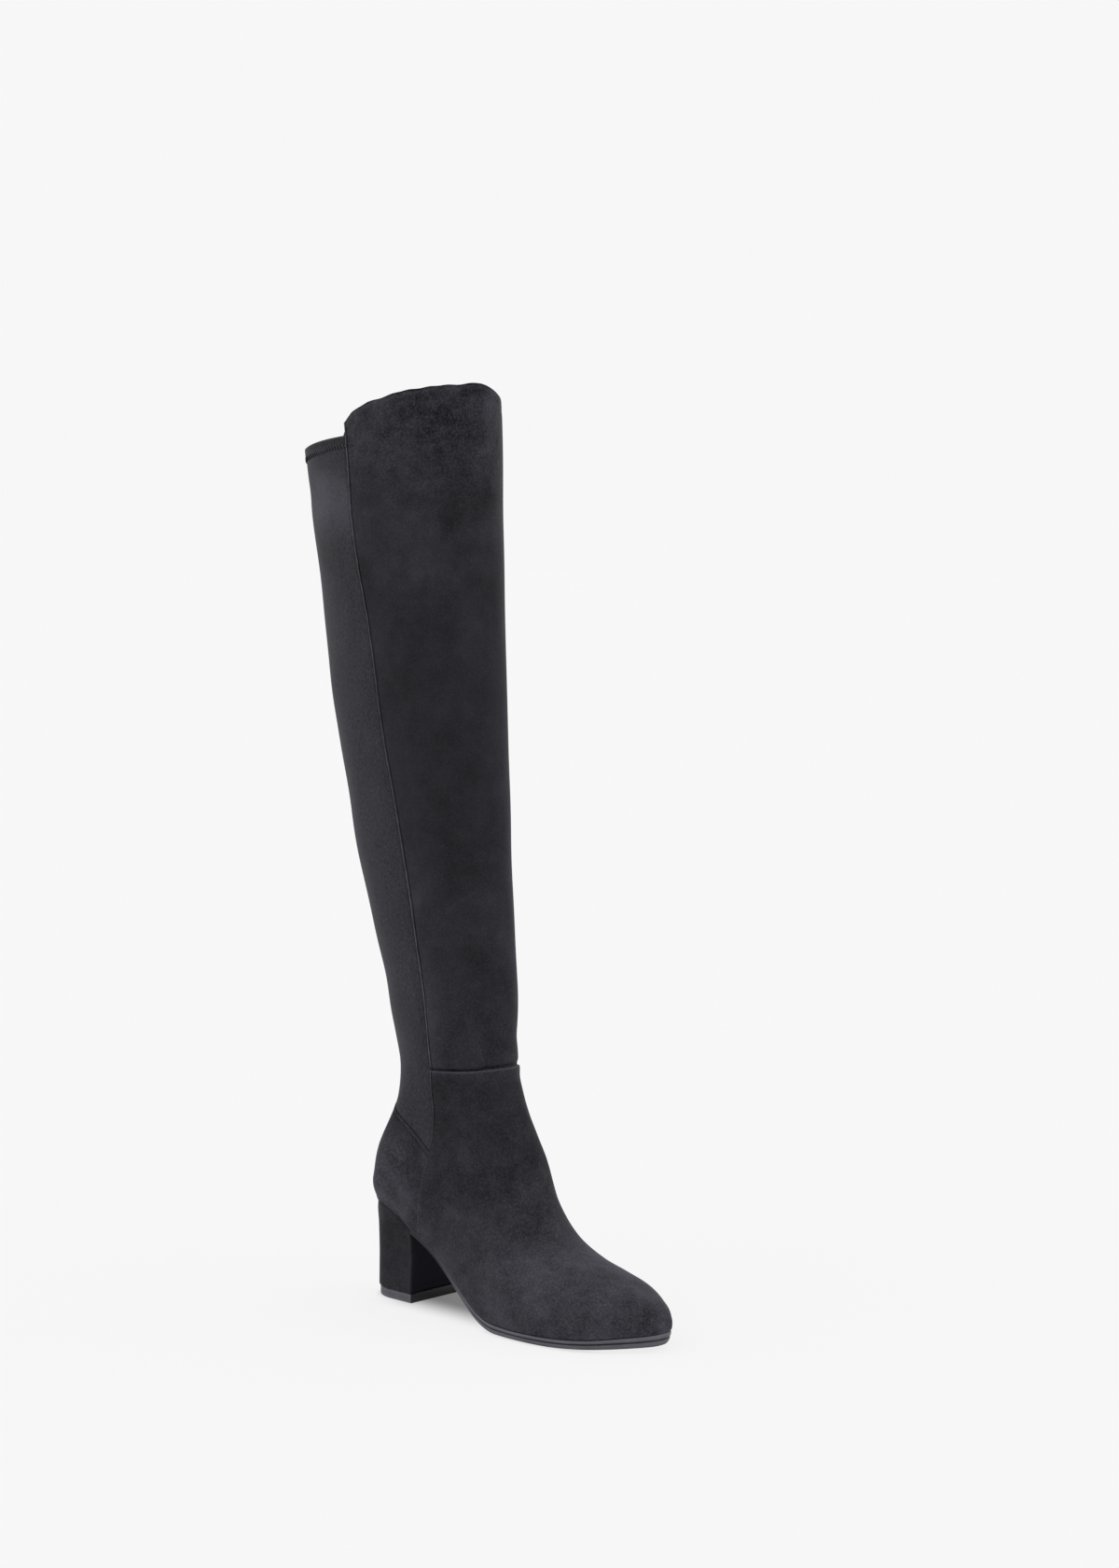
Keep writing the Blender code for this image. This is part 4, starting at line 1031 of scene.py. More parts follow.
def makeCounter():
    look = counterLook
    columns = skinColumns(look["columns"], joined=False)
    start = min(tablePlaces[np.argmax(backShares[:, s] > 0)] for s in (0, 1))
    ends = crossing(columns, backShares, False, vHeight, start + 5, topPlace * 0.6)
    rim, span = lastOnSole, ends.max() - start
    stops = (start, start + 8, rim - 12, rim - 5, rim + 2, rim + 8)
    share = closeRows(spacedRows(start, ends.max(), tuple(zip(stops, look["gaps"]))), span)
    places = start + share[:, None] * (ends - start)
    u, beside = readColumns(places, columns, backShares, False)
    points, normals = framesAt(places, u)
    x, y, z = np.moveaxis(points, -1, 0)  # these follow the points as they move

    def belowV():
        return cuts["vAcross"] * np.maximum(0.0, vHeight(x, y) - z)

    # under the V the seam's bend bunches the grid, so it is evened out there
    atX, atZ, times = look["eased"]
    loose = (1 - smoothStep(np.abs(x - atX), 8, 18)) * (1 - smoothStep(np.abs(z - atZ), 8, 20))
    loose = (loose * smoothStep(belowV(), 0.7, 1.5))[1:-1, 1:-1, None]
    for _ in range(times):
        even = (points[:-2, 1:-1] + points[2:, 1:-1] + points[1:-1, :-2] + points[1:-1, 2:]) / 4
        points[1:-1, 1:-1] += loose * (even - points[1:-1, 1:-1])
    below = belowV()
    fromSole = sideOf(columns, (u + 1) * sideLength(places, 0), (1 - u) * sideLength(places, 1))
    onSole = 1 - smoothStep(places, rim - 1, rim + 3)
    lapped, lap = lappedAt(points, columns)
    depth = lap * rolledEdge(beside, look["roll"], look["seamDrop"])
    depth = np.maximum(depth, rolledEdge(below, 0.9, 0.9) - look["proud"] * (1 - smoothStep(below, 1.5, 7)))
    depth += onSole * rolledEdge(fromSole, 1.4, 0.6)
    depth += look["tuckIn"] * (1 - smoothStep(z - seatLine(x), 0.5, 14.0)) * (1 - smoothStep(x, 12.0, 28.0))
    depth += easedSag(points, (beside, 12), (below, 10), (fromSole, 12))
    wearAndShading = brushedAndShaded(points) + 0.6 * hump(below - 0.6, 0.6) - 0.5 * hump(below - 3.0, 0.6)
    wearAndShading += (0.5 - 0.9 * lapped) * hump(beside - 0.4, 0.6) + 0.25 * onSole * hump(fromSole, 1.2)
    points = points - normals * depth[..., None]
    # the two halves part along the sole, each tucked in under the foot
    half = points.shape[1] // 2
    onSole = places[:, half:half + 1] < rim
    parts = []
    for side, seam, parting in ((slice(None, half), 0, -1), (slice(half, None), -1, 0)):
        part, out = points[:, side], normals[:, side]
        line = part[:, parting]
        towards = np.column_stack([0.4 * planInward(line)[:, 0], np.sign(middleOf(line[:, 0]) - line[:, 1])])
        tuck = line + onSole * tuckReach(line) * np.pad(towards, ((0, 0), (0, 1)))
        skirt = part[:, seam] - out[:, seam] * 1.2
        edges = (skirt, tuck) if seam == 0 else (tuck, skirt)
        parts.append((bordered(part, *edges), bordered(out, out[:, 0], out[:, -1]), bordered(wearAndShading[:, side])))
    points, wearAndShading = underEdge(*(np.concatenate(grids, axis=1) for grids in zip(*parts)))
    gridPiece("counter", points, suede, ("upper",), skip=(half + 1,), turned=True, edges=wearAndShading)


makeCounter()

# Lining: the inside of the whole boot, and the sock over the insole.
liningLook = {"columns": 46, "start": 14.0, "step": 5.0, "depth": 2.6, "topDepth": 1.55, "short": 5.0}
sockLook = {"inset": 3.4, "above": 4.9, "dish": 0.35, "edgeDrop": 0.25, "thick": 2.2}


def makeLining():
    look = liningLook
    t = np.linspace(0, 1, look["columns"] + 1)
    u = np.concatenate([t - 1, 1 - t[-2::-1]])
    heights = np.linspace(topPlace * 0.6, topPlace, 500)
    ends = np.empty(len(u))
    for c, value in enumerate(u):
        x, y, z = surface(heights, np.full(len(heights), value)).T
        front = smoothStep(x - seamX(np.clip(z, *seamEnds)), -1.5, 1.5)
        top = panelHeight(x, y) * (1 - front) + collarHeight(x, y) * front
        hit = int(np.argmax(z > top - look["short"]))
        ends[c] = heights[hit] if hit else topPlace
    share = np.linspace(0, 1, int((ends.max() - look["start"]) / look["step"]))[:, None]
    places = look["start"] + share * (ends - look["start"])
    points, normals = framesAt(places, np.repeat(u[None], len(places), axis=0))
    fade = smoothStep(ends - places, 4, 26)
    depth = look["topDepth"] + (look["depth"] - look["topDepth"]) * fade + sag(points)
    gridPiece("lining", points - normals * depth[..., None], liningCloth, ("upper",), slot="tape")


def makeSock():
    look = sockLook
    widths, low, high = movedFeather(-look["inset"])
    across = np.linspace(-1, 1, 25)
    points = []
    for x in low + (high - low) * (1 - np.cos(np.linspace(0.02, math.pi - 0.02, 90))) / 2:
        height, slope = soleLine(x)
        top = height + look["above"] * math.hypot(1, slope)
        outer, inner = np.maximum(widths(x), 0.3)
        ys = middleOf(x) + np.where(across < 0, across * outer, across * inner)
        zs = top + look["dish"] * across**2 - look["edgeDrop"] * (np.abs(across) > 0.99)
        foot = top - look["thick"]
        points.append([(x, ys[0], foot), *((x, y, z) for y, z in zip(ys, zs)), (x, ys[-1], foot)])
    gridPiece("insoleSock", np.array(points), sockCloth, ("insole",), slot="board")


makeLining()
makeSock()

# Heel: a suede-covered block of D plan, with a near-black breast darkened further as painted shade, on a
# rubber top piece.
heelLook = {
    "floor": 6.2,  # where the cover stands on the top piece
    "flat": 0.46,
    "curve": 2.2,
    # height share, breast, back, half-width
    "levels": (
        (0, 22.2, -20.6, 23.0), (0.2, 22.6, -20.62, 22.9), (0.45, 23.4, -20.7, 23.0),
        (0.7, 24.2, -20.66, 25.2), (0.88, 24.7, -20.4, 27.9), (1, 25.0, -19.2, 28.0),
    ),
    "waist": 23.0,
    "top": 28.4,
    "corner": 1.2,
    "round": 1.2,
    "flare": 0.8,  # of its top edge
    "inside": ((0.5, 0.5), (1.3, 1.7), (5.0, 2.0)),  # inset and rise, up inside the foot of the counter
    "footWear": 0.25,
    "cornerHighlight": 0.35,
    "hollow": (0.25, 0.9),  # how deep the breast lies at its sides, and how much deeper in the middle
}
topPieceLook = {
    "back": -19.8,
    "half": 22.2,
    "breast": 22.2,
    "corner": 0.9,
    # inset, height, and how much lighter: scuffs along the rounded edges, with a painted highlight on them
    "profile": (
        (0.8, 0, 0), (0.35, 0.12, 0), (0.1, 0.4, 0.2), (0, 0.8, 0.2), (0, 3, 0), (0, 5.4, 0.15),
        (0.15, 5.8, 0.15), (0.5, 6, 0), (3, 6, 0),
    ),
    "breastShade": 0.75,
}
footprint = []  # plans of what meets the floor


def dPlan(breast, back, half, corner):
    # a D outline from the outer breast corner round the back to the inner one, with rounded breast corners
    share = np.sin(np.linspace(0, math.pi / 2, 81))
    wide = half * rounding((share - heelLook["flat"]) / (1 - heelLook["flat"]), heelLook["curve"])
    x = breast + (back - breast) * share
    turn = np.linspace(math.pi / 2, 0, 7)
    rounded = np.stack([breast - corner * (1 - np.sin(turn)), half - corner * (1 - np.cos(turn))], axis=1)
    side = np.concatenate([rounded, np.stack([x, wide], axis=1)[x < breast - corner - 0.2]])
    return np.concatenate([side * (1, -1), side[-2::-1]])


def atHeight(plan, z):
    return np.column_stack([plan, np.broadcast_to(z, len(plan))])


def makeHeel():
    look = heelLook
    shares, *sizes = columnsOf(look["levels"])
    levels = smoothCurve(shares, np.stack(sizes, axis=1))
    widening = (float(feather(10.0).mean()) - 0.4 - look["waist"]) / (look["top"] - look["waist"])

    def ring(share, inset):
        breast, back, half = levels(share)
        half += max(0.0, half - look["waist"]) * (widening - 1)
        half += look["flare"] * float(smoothStep(share, 0.75, 1.0))
        return dPlan(breast - inset * 0.3, back + inset, half - inset, look["corner"])

    turn = np.linspace(math.pi / 2, 0, 7)
    radius = look["round"]
    base = look["floor"] + radius
    rows = [atHeight(ring(0.0, radius - radius * math.cos(a)), base - radius * math.sin(a)) for a in turn]
    for share in np.linspace(0, 1, 34)[1:]:
        plan = ring(share, 0.0)
        rows.append(atHeight(plan, base + (seatLine(plan[:, 0]) - base) * share))
    for inset, rise in look["inside"]:
        plan = ring(1.0, inset)
        rows.append(atHeight(plan, seatLine(plan[:, 0]) + rise))
    points = np.array(rows)
    marks = np.zeros(points.shape[:2])
    marks[:len(turn)] = look["footWear"] * np.sin(turn)[:, None]
    marks[:, [5, 6, 7, -8, -7, -6]] += look["cornerHighlight"]  # a painted highlight on the cover's turn at the breast
    gridPiece("heelCover", points, shadedHeelSuede, ("heel",), edges=marks)
    left, right = points[3:-3, :1], points[3:-3, -1:]
    across = np.linspace(0, 1, 23)[:, None]
    breast = left + (right - left) * across
    shallow, deeper = look["hollow"]
    breast[:, 1:-1, 0] -= (shallow + deeper * np.sin(math.pi * across[:, 0]) ** 0.8)[1:-1]
    breast[:, 0] -= (0.1, -0.05, 0)
    breast[:, -1] -= (0.1, 0.05, 0)
    gridPiece("heelBreast", breast, darkShadedBreast, ("heel",))


def makeTopPiece():
    look = topPieceLook
    rows = []
    for inset, z, _ in look["profile"]:
        plan = dPlan(look["breast"] - inset * 0.8, look["back"] + inset, look["half"] - inset, look["corner"])
        rows.append(atHeight(plan, z))
    points, cols = np.array(rows), len(rows[0])
    marks = np.repeat(columnsOf(look["profile"])[2][:, None], cols, axis=1)
    # painted shade on the sides that face the breast
    marks[:, :4] -= look["breastShade"]
    marks[:, -4:] -= look["breastShade"]
    faces = ringFaces(len(rows), cols) + [range(cols), range((len(rows) - 1) * cols, len(rows) * cols)]
    meshPiece("topPiece", points, faces, topPieceRubber, ("top_piece",), slot="rubber", edges=marks)
    footprint.append(points[0])


makeHeel()
makeTopPiece()

# Outsole: a rounded lip under the suede, a groove below it, a plain edge and a slightly treaded bottom.
soleLook = {
    "start": 25.3,
    # x, thickness, how far its edge stands out from the upper's
    "run": (
        (25.0, 2.6, -0.6), (60.0, 3.0, -0.2), (92.0, 4.6, 0.6), (112.0, 5.5, 1.0), (180.0, 5.6, 1.0),
        (200.0, 6.4, 0.8), (219.2, 8.0, 0.3),
    ),
    "nominal": 5.6,  # thickness at which the profile's insets hold
    "tipInset": 2.4,  # of the bottom edge at the toe
    "heelShade": (42.0, 80.0, 0.8),  # painted shade under the arch: x fade and amount towards the heel
    # inset, share of the thickness, and how much lighter or darker: wear, with painted light and shade, the
    # lip lighter, the groove and the rounded foot darker
    "profile": (
        (3.2, 0, 0), (0.9, 0, 0), (0.45, 0.015, 0.2), (0.15, 0.06, 0.4), (0, 0.14, 0.4), (0, 0.27, 0.2),
        (0.12, 0.36, 0), (0.38, 0.4, -0.4), (0.62, 0.43, -0.5), (0.62, 0.47, -0.5), (0.3, 0.5, -0.3),
        (0.1, 0.54, 0.1), (0.05, 0.62, 0.25), (0.05, 0.78, 0.2), (0.15, 0.88, -0.05), (0.45, 0.96, -0.35),
        (1, 1, -0.1),
    ),
    "across": 30,
    "tread": (100, 184, 5.0, 0.5),  # where its cross grooves start and end, their pitch and depth
}


def soleTread(line, inset):
    # fine cross grooves cut up into the tread's field, clear of the rim
    start, end, pitch, depth = soleLook["tread"]
    x, y = line[..., 0], line[..., 1]
    field = smoothStep(inset, 6.0, 7.0) * smoothStep(x, start, start + 4) * (1 - smoothStep(x, end, end + 4))
    return depth * field * (np.cos(x * 2 * math.pi / pitch + y * 0.10) > 0.55)


def makeOutsole():
    look = soleLook
    runX, thicks, edges = columnsOf(look["run"])
    xs = form["heelBack"] + form["footLength"] * (1 - np.cos(np.linspace(0, math.pi, 400))) / 2
    keep = (xs > look["start"] - 0.5) & ((np.arange(400) % 2 == 0) | (xs > 195))  # finer round the toe
    sides = []
    for _, ys, nx, ny in featherSides(xs):
        nx[-1], ny[-1] = 1.0, 0.0
        sides.append(np.stack([xs, ys, nx, ny], axis=1)[keep])
    x, y, nx, ny = np.concatenate([sides[0], sides[1][-2::-1]]).T
    top, slope = soleLine(x)
    top = top - 0.3 * np.hypot(1, slope)
    thick = smoothCurve(runX, thicks)(np.minimum(x, runX[-1]))
    bottom = np.maximum(0.0, top - thick)
    darkFrom, darkTo, darker = look["heelShade"]
    rows, soleWearAndShading = [], []
    for inset, share, wearAndShading in look["profile"]:
        reach = np.interp(x, runX, edges) - inset * np.clip(thick / look["nominal"], 0.35, 1)
        reach -= look["tipInset"] * share**2 * smoothStep(x, 196, 219)
        rows.append(np.column_stack([x + nx * reach, y + ny * reach, top + (bottom - top) * share]))
        soleWearAndShading.append(wearAndShading - darker * (1 - smoothStep(x, darkFrom, darkTo)))
    points, count = np.array(rows), len(sides[0])

    def spanned(row, steps):
        # straight lines from the row's outer side across to its inner side
        first, last = row[:count, None], row[::-1][:count, None]
        return first + (last - first) * np.linspace(0, 1, steps)[:, None]

    flat, roof = spanned(points[-1], look["across"]), spanned(points[0], 4)
    across = np.linspace(0, 1, look["across"])
    wide = np.linalg.norm(flat[:, -1] - flat[:, 0], axis=-1)[:, None]
    flat[..., 2] += soleTread(flat, wide * np.minimum(across, 1 - across))
    start = points[..., 0].size
    faces = gridFaces(*points.shape[:2])
    faces += gridFaces(*flat.shape[:2], turned=True, start=start)
    faces += gridFaces(*roof.shape[:2], start=start + flat[..., 0].size)
    outer = np.arange(len(rows)) * len(x)
    inner = outer[::-1] + len(x) - 1
    faces.append([*outer.tolist(), *range(start + 1, start + look["across"]), *inner.tolist()])
    everything = np.concatenate([part.reshape(-1, 3) for part in (points, flat, roof)])
    soleWearAndShading = np.concatenate([np.ravel(soleWearAndShading), np.zeros(len(everything) - start)])
    meshPiece("outsole", everything, faces, soleRubber, ("outsole",), slot="rubber", edges=soleWearAndShading)
    footprint.append(points[-1][points[-1][:, 2] < 5.0])


makeOutsole()

# Zip in the inner side seam: tape, interlocked teeth, slider and the pull that hangs from it.
tapeLook = {"foot": 70.0, "top": 288.5, "across": (0.0, 1.2, 2.2, 3.4, 6.0, 9.0), "depths": (2.0, 2.4)}
middleShares = seamShares(lambda z, side: 0 * z)
seamPlaces = np.linspace(lastOnSole * 0.5, topPlace * 0.75, 1500)
seamLine = surface(seamPlaces, 1 - shareAt(middleShares, seamPlaces, 1))


def besideZip(z, offset, depth):
    # a point beside the inner side seam at height z, offset forwards along the skin and at a depth
    place = np.interp(z, seamLine[:, 2], seamPlaces)
    point, normal = framesAt(place, 1 - shareAt(middleShares, place, 1) - offset / sideLength(place, 1))
    return point - normal * depth, normal


def makeTape():
    look = tapeLook
    heights = np.linspace(look["foot"], look["top"], 140)[:, None]
    across = np.array(look["across"])
    across = np.concatenate([-across[:0:-1], across])
    outside, inside = (besideZip(heights, across, depth)[0] for depth in look["depths"])
    points = np.concatenate([outside, inside[:, ::-1], outside[:, :1]], axis=1)
    rows, cols = points.shape[:2]
    faces = gridFaces(rows, cols) + [range(cols - 1), range((rows - 1) * cols, rows * cols - 1)]
    meshPiece("zipTape", points, faces, tapeCloth, ("zip_tape",), slot="tape")


def blockLoops(centre, along, across, out, sizes, bevel):
    # a block with rounded edges, as eight-sided loops along its length
    half, wide, thick = sizes
    ring = []
    for a, b in ((1, 1), (-1, 1), (-1, -1), (1, -1)):
        ring += [(a * wide, b * (thick - bevel)), (a * (wide - bevel), b * thick)][::a * b]
    loops = []
    for s, shrink in ((-half, bevel), (-half + bevel, 0), (half - bevel, 0), (half, bevel)):
        sideways, outwards = across * (1 - shrink / wide), out * (1 - shrink / thick)
        loops.append([centre + along * s + sideways * c + outwards * n for c, n in ring])
    return np.array(loops)


def joinBlocks(name, blocks, finish, slot, stands):
    points, faces = [], []
    for loops in blocks:
        rows, cols = loops.shape[:2]
        start, end = len(points), len(points) + rows * cols
        points += loops.reshape(-1, 3).tolist()
        faces += ringFaces(rows, cols, start) + [range(start, start + cols), range(end - cols, end)]
    meshPiece(name, points, faces, finish, stands, slot=slot)


def seamFrame(z):
    # point, up, across and out at a height on the seam
    point, out = besideZip(z, 0.0, 0.0)
    up = besideZip(z + 2.0, 0.0, 0.0)[0] - point
    up = unit(up - out * (up @ out))
    return point, up, np.cross(up, out), out


teethLook = {
    "foot": 73.0,
    "top": 277.5,
    "pitch": 1.27,
    "size": (1.3, 0.27, 0.62),  # half length, half height, half depth
    "place": (0.62, 1.05),  # how far a tooth's middle lies to its side, and how deep
    # height, place across, half-width
    "stops": ((284.9, -1.9, 0.8), (284.9, 1.9, 0.8), (72.4, 0.0, 2.0)),
    "stopSize": (1.3, 0.75),  # half length, half depth
}


def makeTeeth():
    look = teethLook
    line = besideZip(np.linspace(look["foot"], look["top"], 800), 0.0, 0.0)[0]
    walked = walkedDown(line)
    aside, deep = look["place"]
    blocks = []
    for k, reach in enumerate(np.arange(0.4, walked[-1] - 0.3, look["pitch"] / 2)):
        point, up, across, out = seamFrame(np.interp(reach, walked, line[:, 2]))
        hand = 1 if k % 2 else -1
        centre = point + across * hand * aside - out * deep
        blocks.append(blockLoops(centre, across * hand, up, out, look["size"], 0.10))
    long, thick = look["stopSize"]
    for z, beside, wide in look["stops"]:
        point, up, across, out = seamFrame(z)
        blocks.append(blockLoops(point + across * beside - out, up, across, out, (long, wide, thick), 0.2))
    joinBlocks("zipTeeth", blocks, toothMetal, "dark_metal", ("zip_chain",))


sliderLook = {
    "height": 279.0,
    "half": 5.5,
    "wide": 4.3,
    "out": 1.45,
    # inset and height of the plate's rings, from inside the seam out over its rounded edge
    "edge": ((0.9, -0.9), (0.25, -0.9), (0, -0.6), (0, 1.0), (0.12, 1.25), (0.4, 1.45), (1.6, 1.5)),
    "bailHalf": 2.4,
    "bailThick": 1.1,
    "bailWide": 1.8,
    "bailRise": 1.95,
    # the points round its strap: share of the way in, and sideways
    "bailRing": ((0, 0.75), (0, -0.75), (0.2, -1), (0.8, -1), (1, -0.75), (1, 0.75), (0.8, 1), (0.2, 1)),
    # the divider and the plate inside the boot: place up and in, half-sizes
    "inside": ((3.1, 1.2, (1.3, 1.1, 2.0)), (0.5, 3.7, (5.0, 4.2, 0.5))),
}


def makeSlider():
    look = sliderLook
    point, up, across, out = seamFrame(look["height"])
    half, wide = look["half"], look["wide"]
    turn = np.linspace(0, 2 * math.pi, 48, endpoint=False)
    # plan of the plate: broad shoulders above, narrower at the foot
    s, c = (np.sign(wave) * np.abs(wave) ** 0.62 for wave in (np.sin(turn), np.cos(turn)))
    s, c = half * s, wide * c * (0.86 + 0.14 * smoothStep(half * s, -half, half))
    c = c * (1 - 0.10 * smoothStep(-s, -1.0, half))
    plan = up * s[:, None] + across * c[:, None]
    plate = np.array([point + plan * (1 - inset / wide) + out * n for inset, n in look["edge"]])
    # the bail: a bent strap over the plate
    foot, sideways = look["out"] - 0.2, across * look["bailWide"] / 2
    straps = (
        (look["bailHalf"], look["bailRise"] + look["bailThick"]),
        (look["bailHalf"] - look["bailThick"] * 0.9, look["bailRise"]),
    )
    bail = []
    for angle in np.linspace(0, math.pi, 17):
        reach, lift = up * math.cos(angle), math.sin(angle) ** 0.55
        outer, inner = (point + reach * long + out * (foot + (rise + 0.2) * lift) for long, rise in straps)
        bail.append([outer + (inner - outer) * share + sideways * side for share, side in look["bailRing"]])
    blocks = [plate, np.array(bail)]
    for above, deep, size in look["inside"]:
        blocks.append(blockLoops(point + up * above - out * deep, up, across, out, size, 0.3))
    joinBlocks("zipSlider", blocks, sliderMetal, "dark_metal", ("zip_slider",))
    return point + out * (look["out"] + look["bailRise"] / 2), across, out


pullLook = {
    "long": 22.5,
    "wide": 6.0,
    "thick": 1.1,
    "corner": 1.5,
    "taper": 0.10,
    "window": (7.4, 3.2, 0.9),  # length, width, corner
    "bar": 1.2,
    "edge": ((0.22, 0.0), (0.07, 0.09), (0.0, 0.25)),  # inset and depth below the face
    "windowEdge": 0.2,
    "field": (5.2, 1.9, 0.9, 6.9),  # half length, half width, corner, and how far below the window
    "fieldEdge": ((0.0, -0.03), (0.12, 0.12), (0.35, 0.17), (1.4, 0.19)),  # inset and height above the face
}


def roundedPlan(half, wide, corner, middle=0.0):
    # a rounded rectangle as (along, across) points
    turn = np.linspace(0, math.pi / 2, 12)
    arc = np.stack([np.cos(turn), np.sin(turn)], axis=1) * corner
    corners = []
    for a, b in ((1, 1), (-1, 1), (-1, -1), (1, -1)):
        corners.append(arc + (a * (half - corner) + middle, b * (wide - corner)))
        arc = arc @ np.array([[0, 1], [-1, 0]])  # a quarter turn
    return np.concatenate(corners)


def makePull(hinge, across, out):
    look = pullLook
    down = np.array([0.0, 0.0, -1.0])
    down = unit(down - across * (down @ across))
    away = np.cross(across, down)
    away = away if away @ out > 0 else -away
    thick, middle = look["thick"] / 2, (look["long"] - look["bar"] / 2) / 2
    outer = roundedPlan((look["long"] + look["bar"] / 2) / 2, look["wide"] / 2, look["corner"])
    outer[:, 1] *= 1 - look["taper"] * smoothStep(-outer[:, 0], 2.0, 11.0)
    windowLong, windowWide, windowCorner = look["window"]
    windowAt = look["bar"] / 2 + windowLong / 2 - middle
    window = roundedPlan(windowLong / 2, windowWide / 2, windowCorner, windowAt)
    fieldHalf, fieldWide, fieldCorner, fieldDown = look["field"]
    fieldAt = windowAt + windowLong / 2 + fieldDown
    field = roundedPlan(fieldHalf, fieldWide, fieldCorner, fieldAt)

    def ring(plan, inset, height, at):
        reach = plan - (at, 0.0)
        along, side = (reach * (1 - inset / np.abs(reach).max(axis=0))).T
        return hinge + down * (along + at + middle)[:, None] + across * side[:, None] + away * height

    edge, bevel = look["edge"], look["windowEdge"]
    loops = [ring(outer, inset, thick - sunk, 0.0) for inset, sunk in edge]
    loops += [ring(outer, inset, sunk - thick, 0.0) for inset, sunk in edge[::-1]]
    for inset, height in ((-bevel, -thick), (0.0, bevel - thick), (0.0, thick - bevel), (-bevel, thick)):
        loops.append(ring(window, inset, height, windowAt))
    count, cols = len(look["fieldEdge"]), len(outer)
    faces = ringFaces(len(loops), cols, closed=True)
    # a low raised field on each face, left bare
    for hand in (1, -1):
        start = len(loops) * cols
        loops += [ring(field, inset, hand * (thick + height), fieldAt) for inset, height in look["fieldEdge"]]
        faces += ringFaces(count, cols, start) + [range(start + (count - 1) * cols, start + count * cols)]
    points = np.concatenate(loops)
    piece = meshPiece("zipPull", points, faces, sliderMetal, ("zip_pull",), "dark_metal", body="pull_tab")
    piece.data.set_sharp_from_angle(angle=math.radians(50))


makeTape()
makeTeeth()
makePull(*makeSlider())

# Stitches: slanted ones along the stretch panel's hem, and dots up the side seams below the V.
stitchLook = {
    "pitch": 3.1,
    "long": 4.6,
    "thick": 1.1,
    "lean": 66.0,
    "pale": (0.7, 0.6),  # the pale ones between, which also stand in as a painted highlight on the knit bulging between, as shares of that length and thickness
    # where the hem ends at the outer seam, a pale tack and a dark one: name, place, length, thickness
    "tacks": (("paleTack", 0.6, 1.7, 1.3), ("darkTack", -4.4, 5.0, 0.7)),
    "dotPitch": 2.1,
    "dotLong": 1.2,
    "dotThick": 0.5,
    "dotFoot": 48.0,
    "dotTops": (102.0, 68.0),  # outer, inner
    # along, radius and depth of the rings of one stitch
    "rings": (
        (-0.5, 0.35, 0.25), (-0.36, 0.85, 0.05), (-0.12, 1, 0),
        (0.12, 1, 0), (0.36, 0.85, 0.05), (0.5, 0.35, 0.25),
    ),
}


def stitch(centre, along, out, long, thick):
    turn = np.linspace(0, 2 * math.pi, 8, endpoint=False)[:, None]
    ring = (np.cross(along, out) * np.cos(turn) + out * np.sin(turn) * 0.8) * thick / 2
    rings = stitchLook["rings"]
    return np.array([centre + along * s * long - out * sink + ring * wide for s, wide, sink in rings])


def readAlong(walked, values, reach):
    return np.array([np.interp(reach, walked, column) for column in values.T])


def makeHemStitches(points, normals, below):
    look = stitchLook
    # the row of each column that lies nearest to the hem's edge, on the outer face
    facing = 1000 * (np.arange(len(below)) > len(below) - 14)[:, None]
    rows = np.argmin(np.abs(below - panelLook["hem"]) + facing, axis=0)
    line, out = (grid[rows, np.arange(len(rows))] for grid in (points, normals))
    walked = walkedDown(line)
    dark, pale = [], []
    lean = math.radians(look["lean"])
    for k, reach in enumerate(np.arange(2.6, walked[-1] - 2.4, look["pitch"] / 2)):
        centre, normal = readAlong(walked, line, reach), unit(readAlong(walked, out, reach))
        ahead = unit(readAlong(walked, line, reach + 0.5) - centre)
        raised = np.cross(normal, ahead)
        raised = raised if raised[2] > 0 else -raised
        along = ahead * math.cos(lean) + raised * math.sin(lean)
        # the pale stitches between the dark ones also stand for the light the knit catches where it bulges: a
        # painted highlight
        if k % 2:
            long, thick = look["long"] * look["pale"][0], look["thick"] * look["pale"][1]
            pale.append(stitch(centre + normal * 0.2, along, normal, long, thick))
        else:
            dark.append(stitch(centre + normal * 0.3, along, normal, look["long"], look["thick"]))
    joinBlocks("hemStitches", dark, thread, "tape", ("back_panel",))
    joinBlocks("paleHemStitches", pale, paleThread, "tape", ("back_panel",))
    ahead = unit(line[4] - line[0])
    for (name, reach, long, thick), finish in zip(look["tacks"], (paleThread, thread)):
        tack = stitch(line[0] + ahead * reach + out[0] * 0.9, ahead, out[0], long, thick)
        joinBlocks(name, [tack], finish, "tape", ("upper",))


def makeSeamDots():
    look = stitchLook
    blocks = []
    for side, top in enumerate(look["dotTops"]):
        places = np.interp(np.linspace(look["dotFoot"], top, 300), seamLine[:, 2], seamPlaces)

        def seamU(place):
            return (1 - 2 * side) * (shareAt(middleShares, place, side) - 1)

        walked = walkedDown(surface(places, seamU(places)))
        for reach in np.arange(0.8, walked[-1], look["dotPitch"]):
            place = np.interp(reach, walked, places)
            point, out = framesAt(place, seamU(place))
            above = surface(place + 1.0, seamU(place)) - point
            above = unit(above - out * (above @ out))
            blocks.append(stitch(point - out * 0.15, above, out, look["dotLong"], look["dotThick"]))
    joinBlocks("seamStitches", blocks, paleThread, "tape", ("upper",))


makeHemStitches(*panelGrid)
makeSeamDots()
print("boot made")

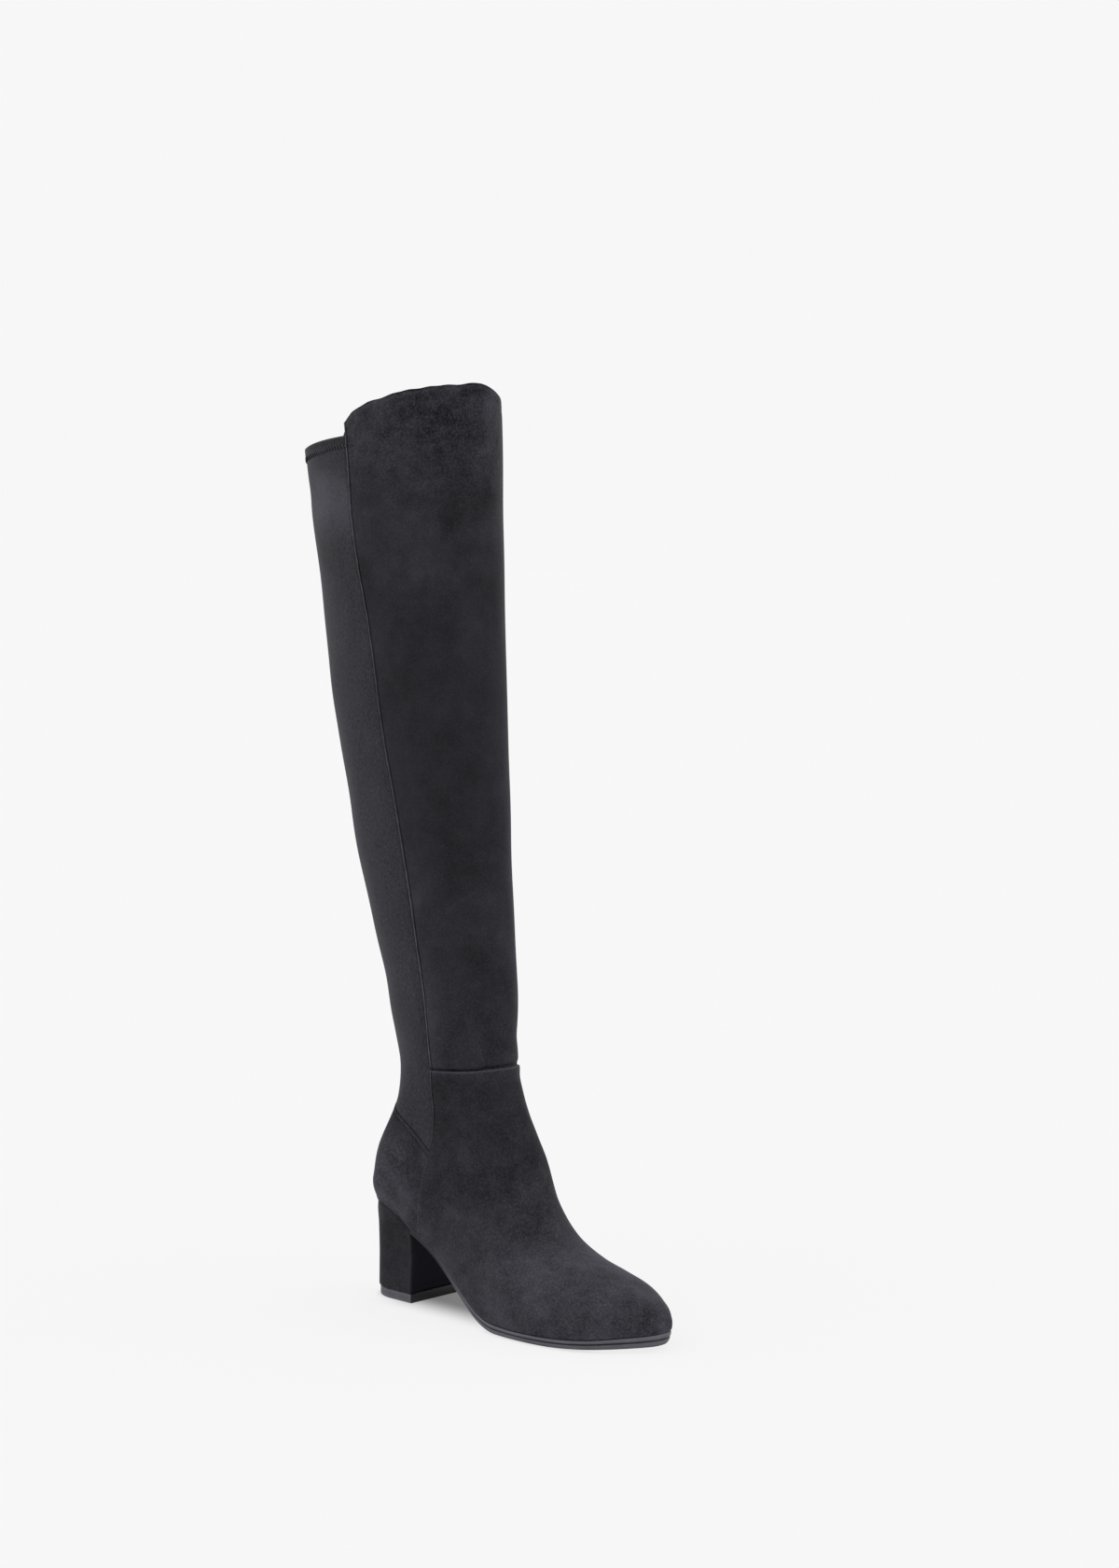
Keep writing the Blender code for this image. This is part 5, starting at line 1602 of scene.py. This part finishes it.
# Floor, light and camera.
stageLook = {
    "floor": 0.10,
    "grid": ((-70.0, 281.0, 600), (-90.0, 91.0, 400)),  # along x and y: fine from, to, and the next line
    "glow": 0.815,  # light of the floor's own, which keeps the shadows soft
    "contact": (0.20, 5.0),  # a painted contact shadow: how much the glow is dimmed beside the sole, and how far out
    "arch": ((-12.0, 20.0), (88.0, 122.0), (-40.0, 0.0), (20.0, 48.0), 0.80),  # a painted shadow under the arch: x and y fades, and how much
    "below": 0.04,
    "world": 0.93,
    # from, angle in degrees, strength
    "suns": (((-1.6, -1.4, 2.2), 60.0, 0.18), ((1.4, 1.0, 1.4), 60.0, 0.19)),
}
cameraLook = {
    "place": (1.4484, -1.3512, 0.5017),
    "turn": (44.178, 88.590, 0.083),  # degrees: about z, then x, then the camera's own axis
    "lens": 68.65,
    "shiftY": -0.11,
}


def makeStage():
    look = stageLook
    xs, ys = (
        np.concatenate([[-30000, -3000, -400], np.arange(low, high, 2.0), [far, 3000, 30000]])
        for low, high, far in look["grid"]
    )
    x, y = np.meshgrid(xs, ys, indexing="ij")
    points = np.stack([x, y, np.full(x.shape, -look["below"])], axis=-1)
    mesh = newMesh("floor", points, gridFaces(*x.shape, turned=True))
    (left, right, low, high, deep), (dimmed, reach) = look["arch"], look["contact"]
    line = np.concatenate(footprint) * (1, 1, 1.6)
    apart = np.sqrt(((points[:, :, None] - line[None, None]) ** 2).sum(axis=-1)).min(axis=-1)
    # painted shadows dim the floor's glow: under the arch, and in a contact shadow round the footprint
    under = smoothStep(x, *left) * (1 - smoothStep(x, *right)) * smoothStep(y, *low) ** 1.2
    under *= 1 - smoothStep(y, *high)
    paint(mesh, "bright", 1 - np.maximum(deep * under, dimmed * (1 - smoothStep(apart, 0.0, reach))))
    made = Finish("paleFloor", {"Roughness": 0.9, "Specular IOR Level": 0.0, "Emission Strength": 1.0})
    shade = made.mixed(made.attribute("bright"), grey(0.0), grey(look["glow"], 1.0, 1.0))
    made.set(made.shader.inputs["Emission Color"], shade)
    cloud = made.noise(3.0)
    made.colour(made.mixed(cloud, grey(look["floor"], 1.0, 1.0), grey(look["floor"] * 1.004, 1.0, 1.0)))
    mesh.materials.append(made.material)
    placed("floor", mesh)
    world = bpy.data.worlds.new("studio")
    world.use_nodes = True
    background = world.node_tree.nodes["Background"]
    background.inputs["Color"].default_value = grey(look["world"], 1.0, 1.0)
    background.inputs["Strength"].default_value = 1.0
    bpy.context.scene.world = world
    for k, (place, angle, strength) in enumerate(look["suns"]):
        light = bpy.data.lights.new("sun%d" % k, "SUN")
        light.energy, light.angle = strength * math.pi, math.radians(angle)
        placed(light.name, light).rotation_euler = Vector(place).to_track_quat("Z", "Y").to_euler()
    bpy.context.scene.view_settings.view_transform = "Standard"


def makeCamera():
    look = cameraLook
    data = bpy.data.cameras.new("camera")
    data.lens, data.sensor_width, data.shift_y = look["lens"], 36.0, look["shiftY"]
    data.clip_end = 60.0
    stand = Matrix.Translation(look["place"])
    for angle, axis in zip(look["turn"], "ZXZ"):
        stand = stand @ Matrix.Rotation(math.radians(angle), 4, axis)
    camera = placed("camera", data)
    camera.matrix_world = stand
    bpy.context.scene.camera = camera


makeStage()
makeCamera()
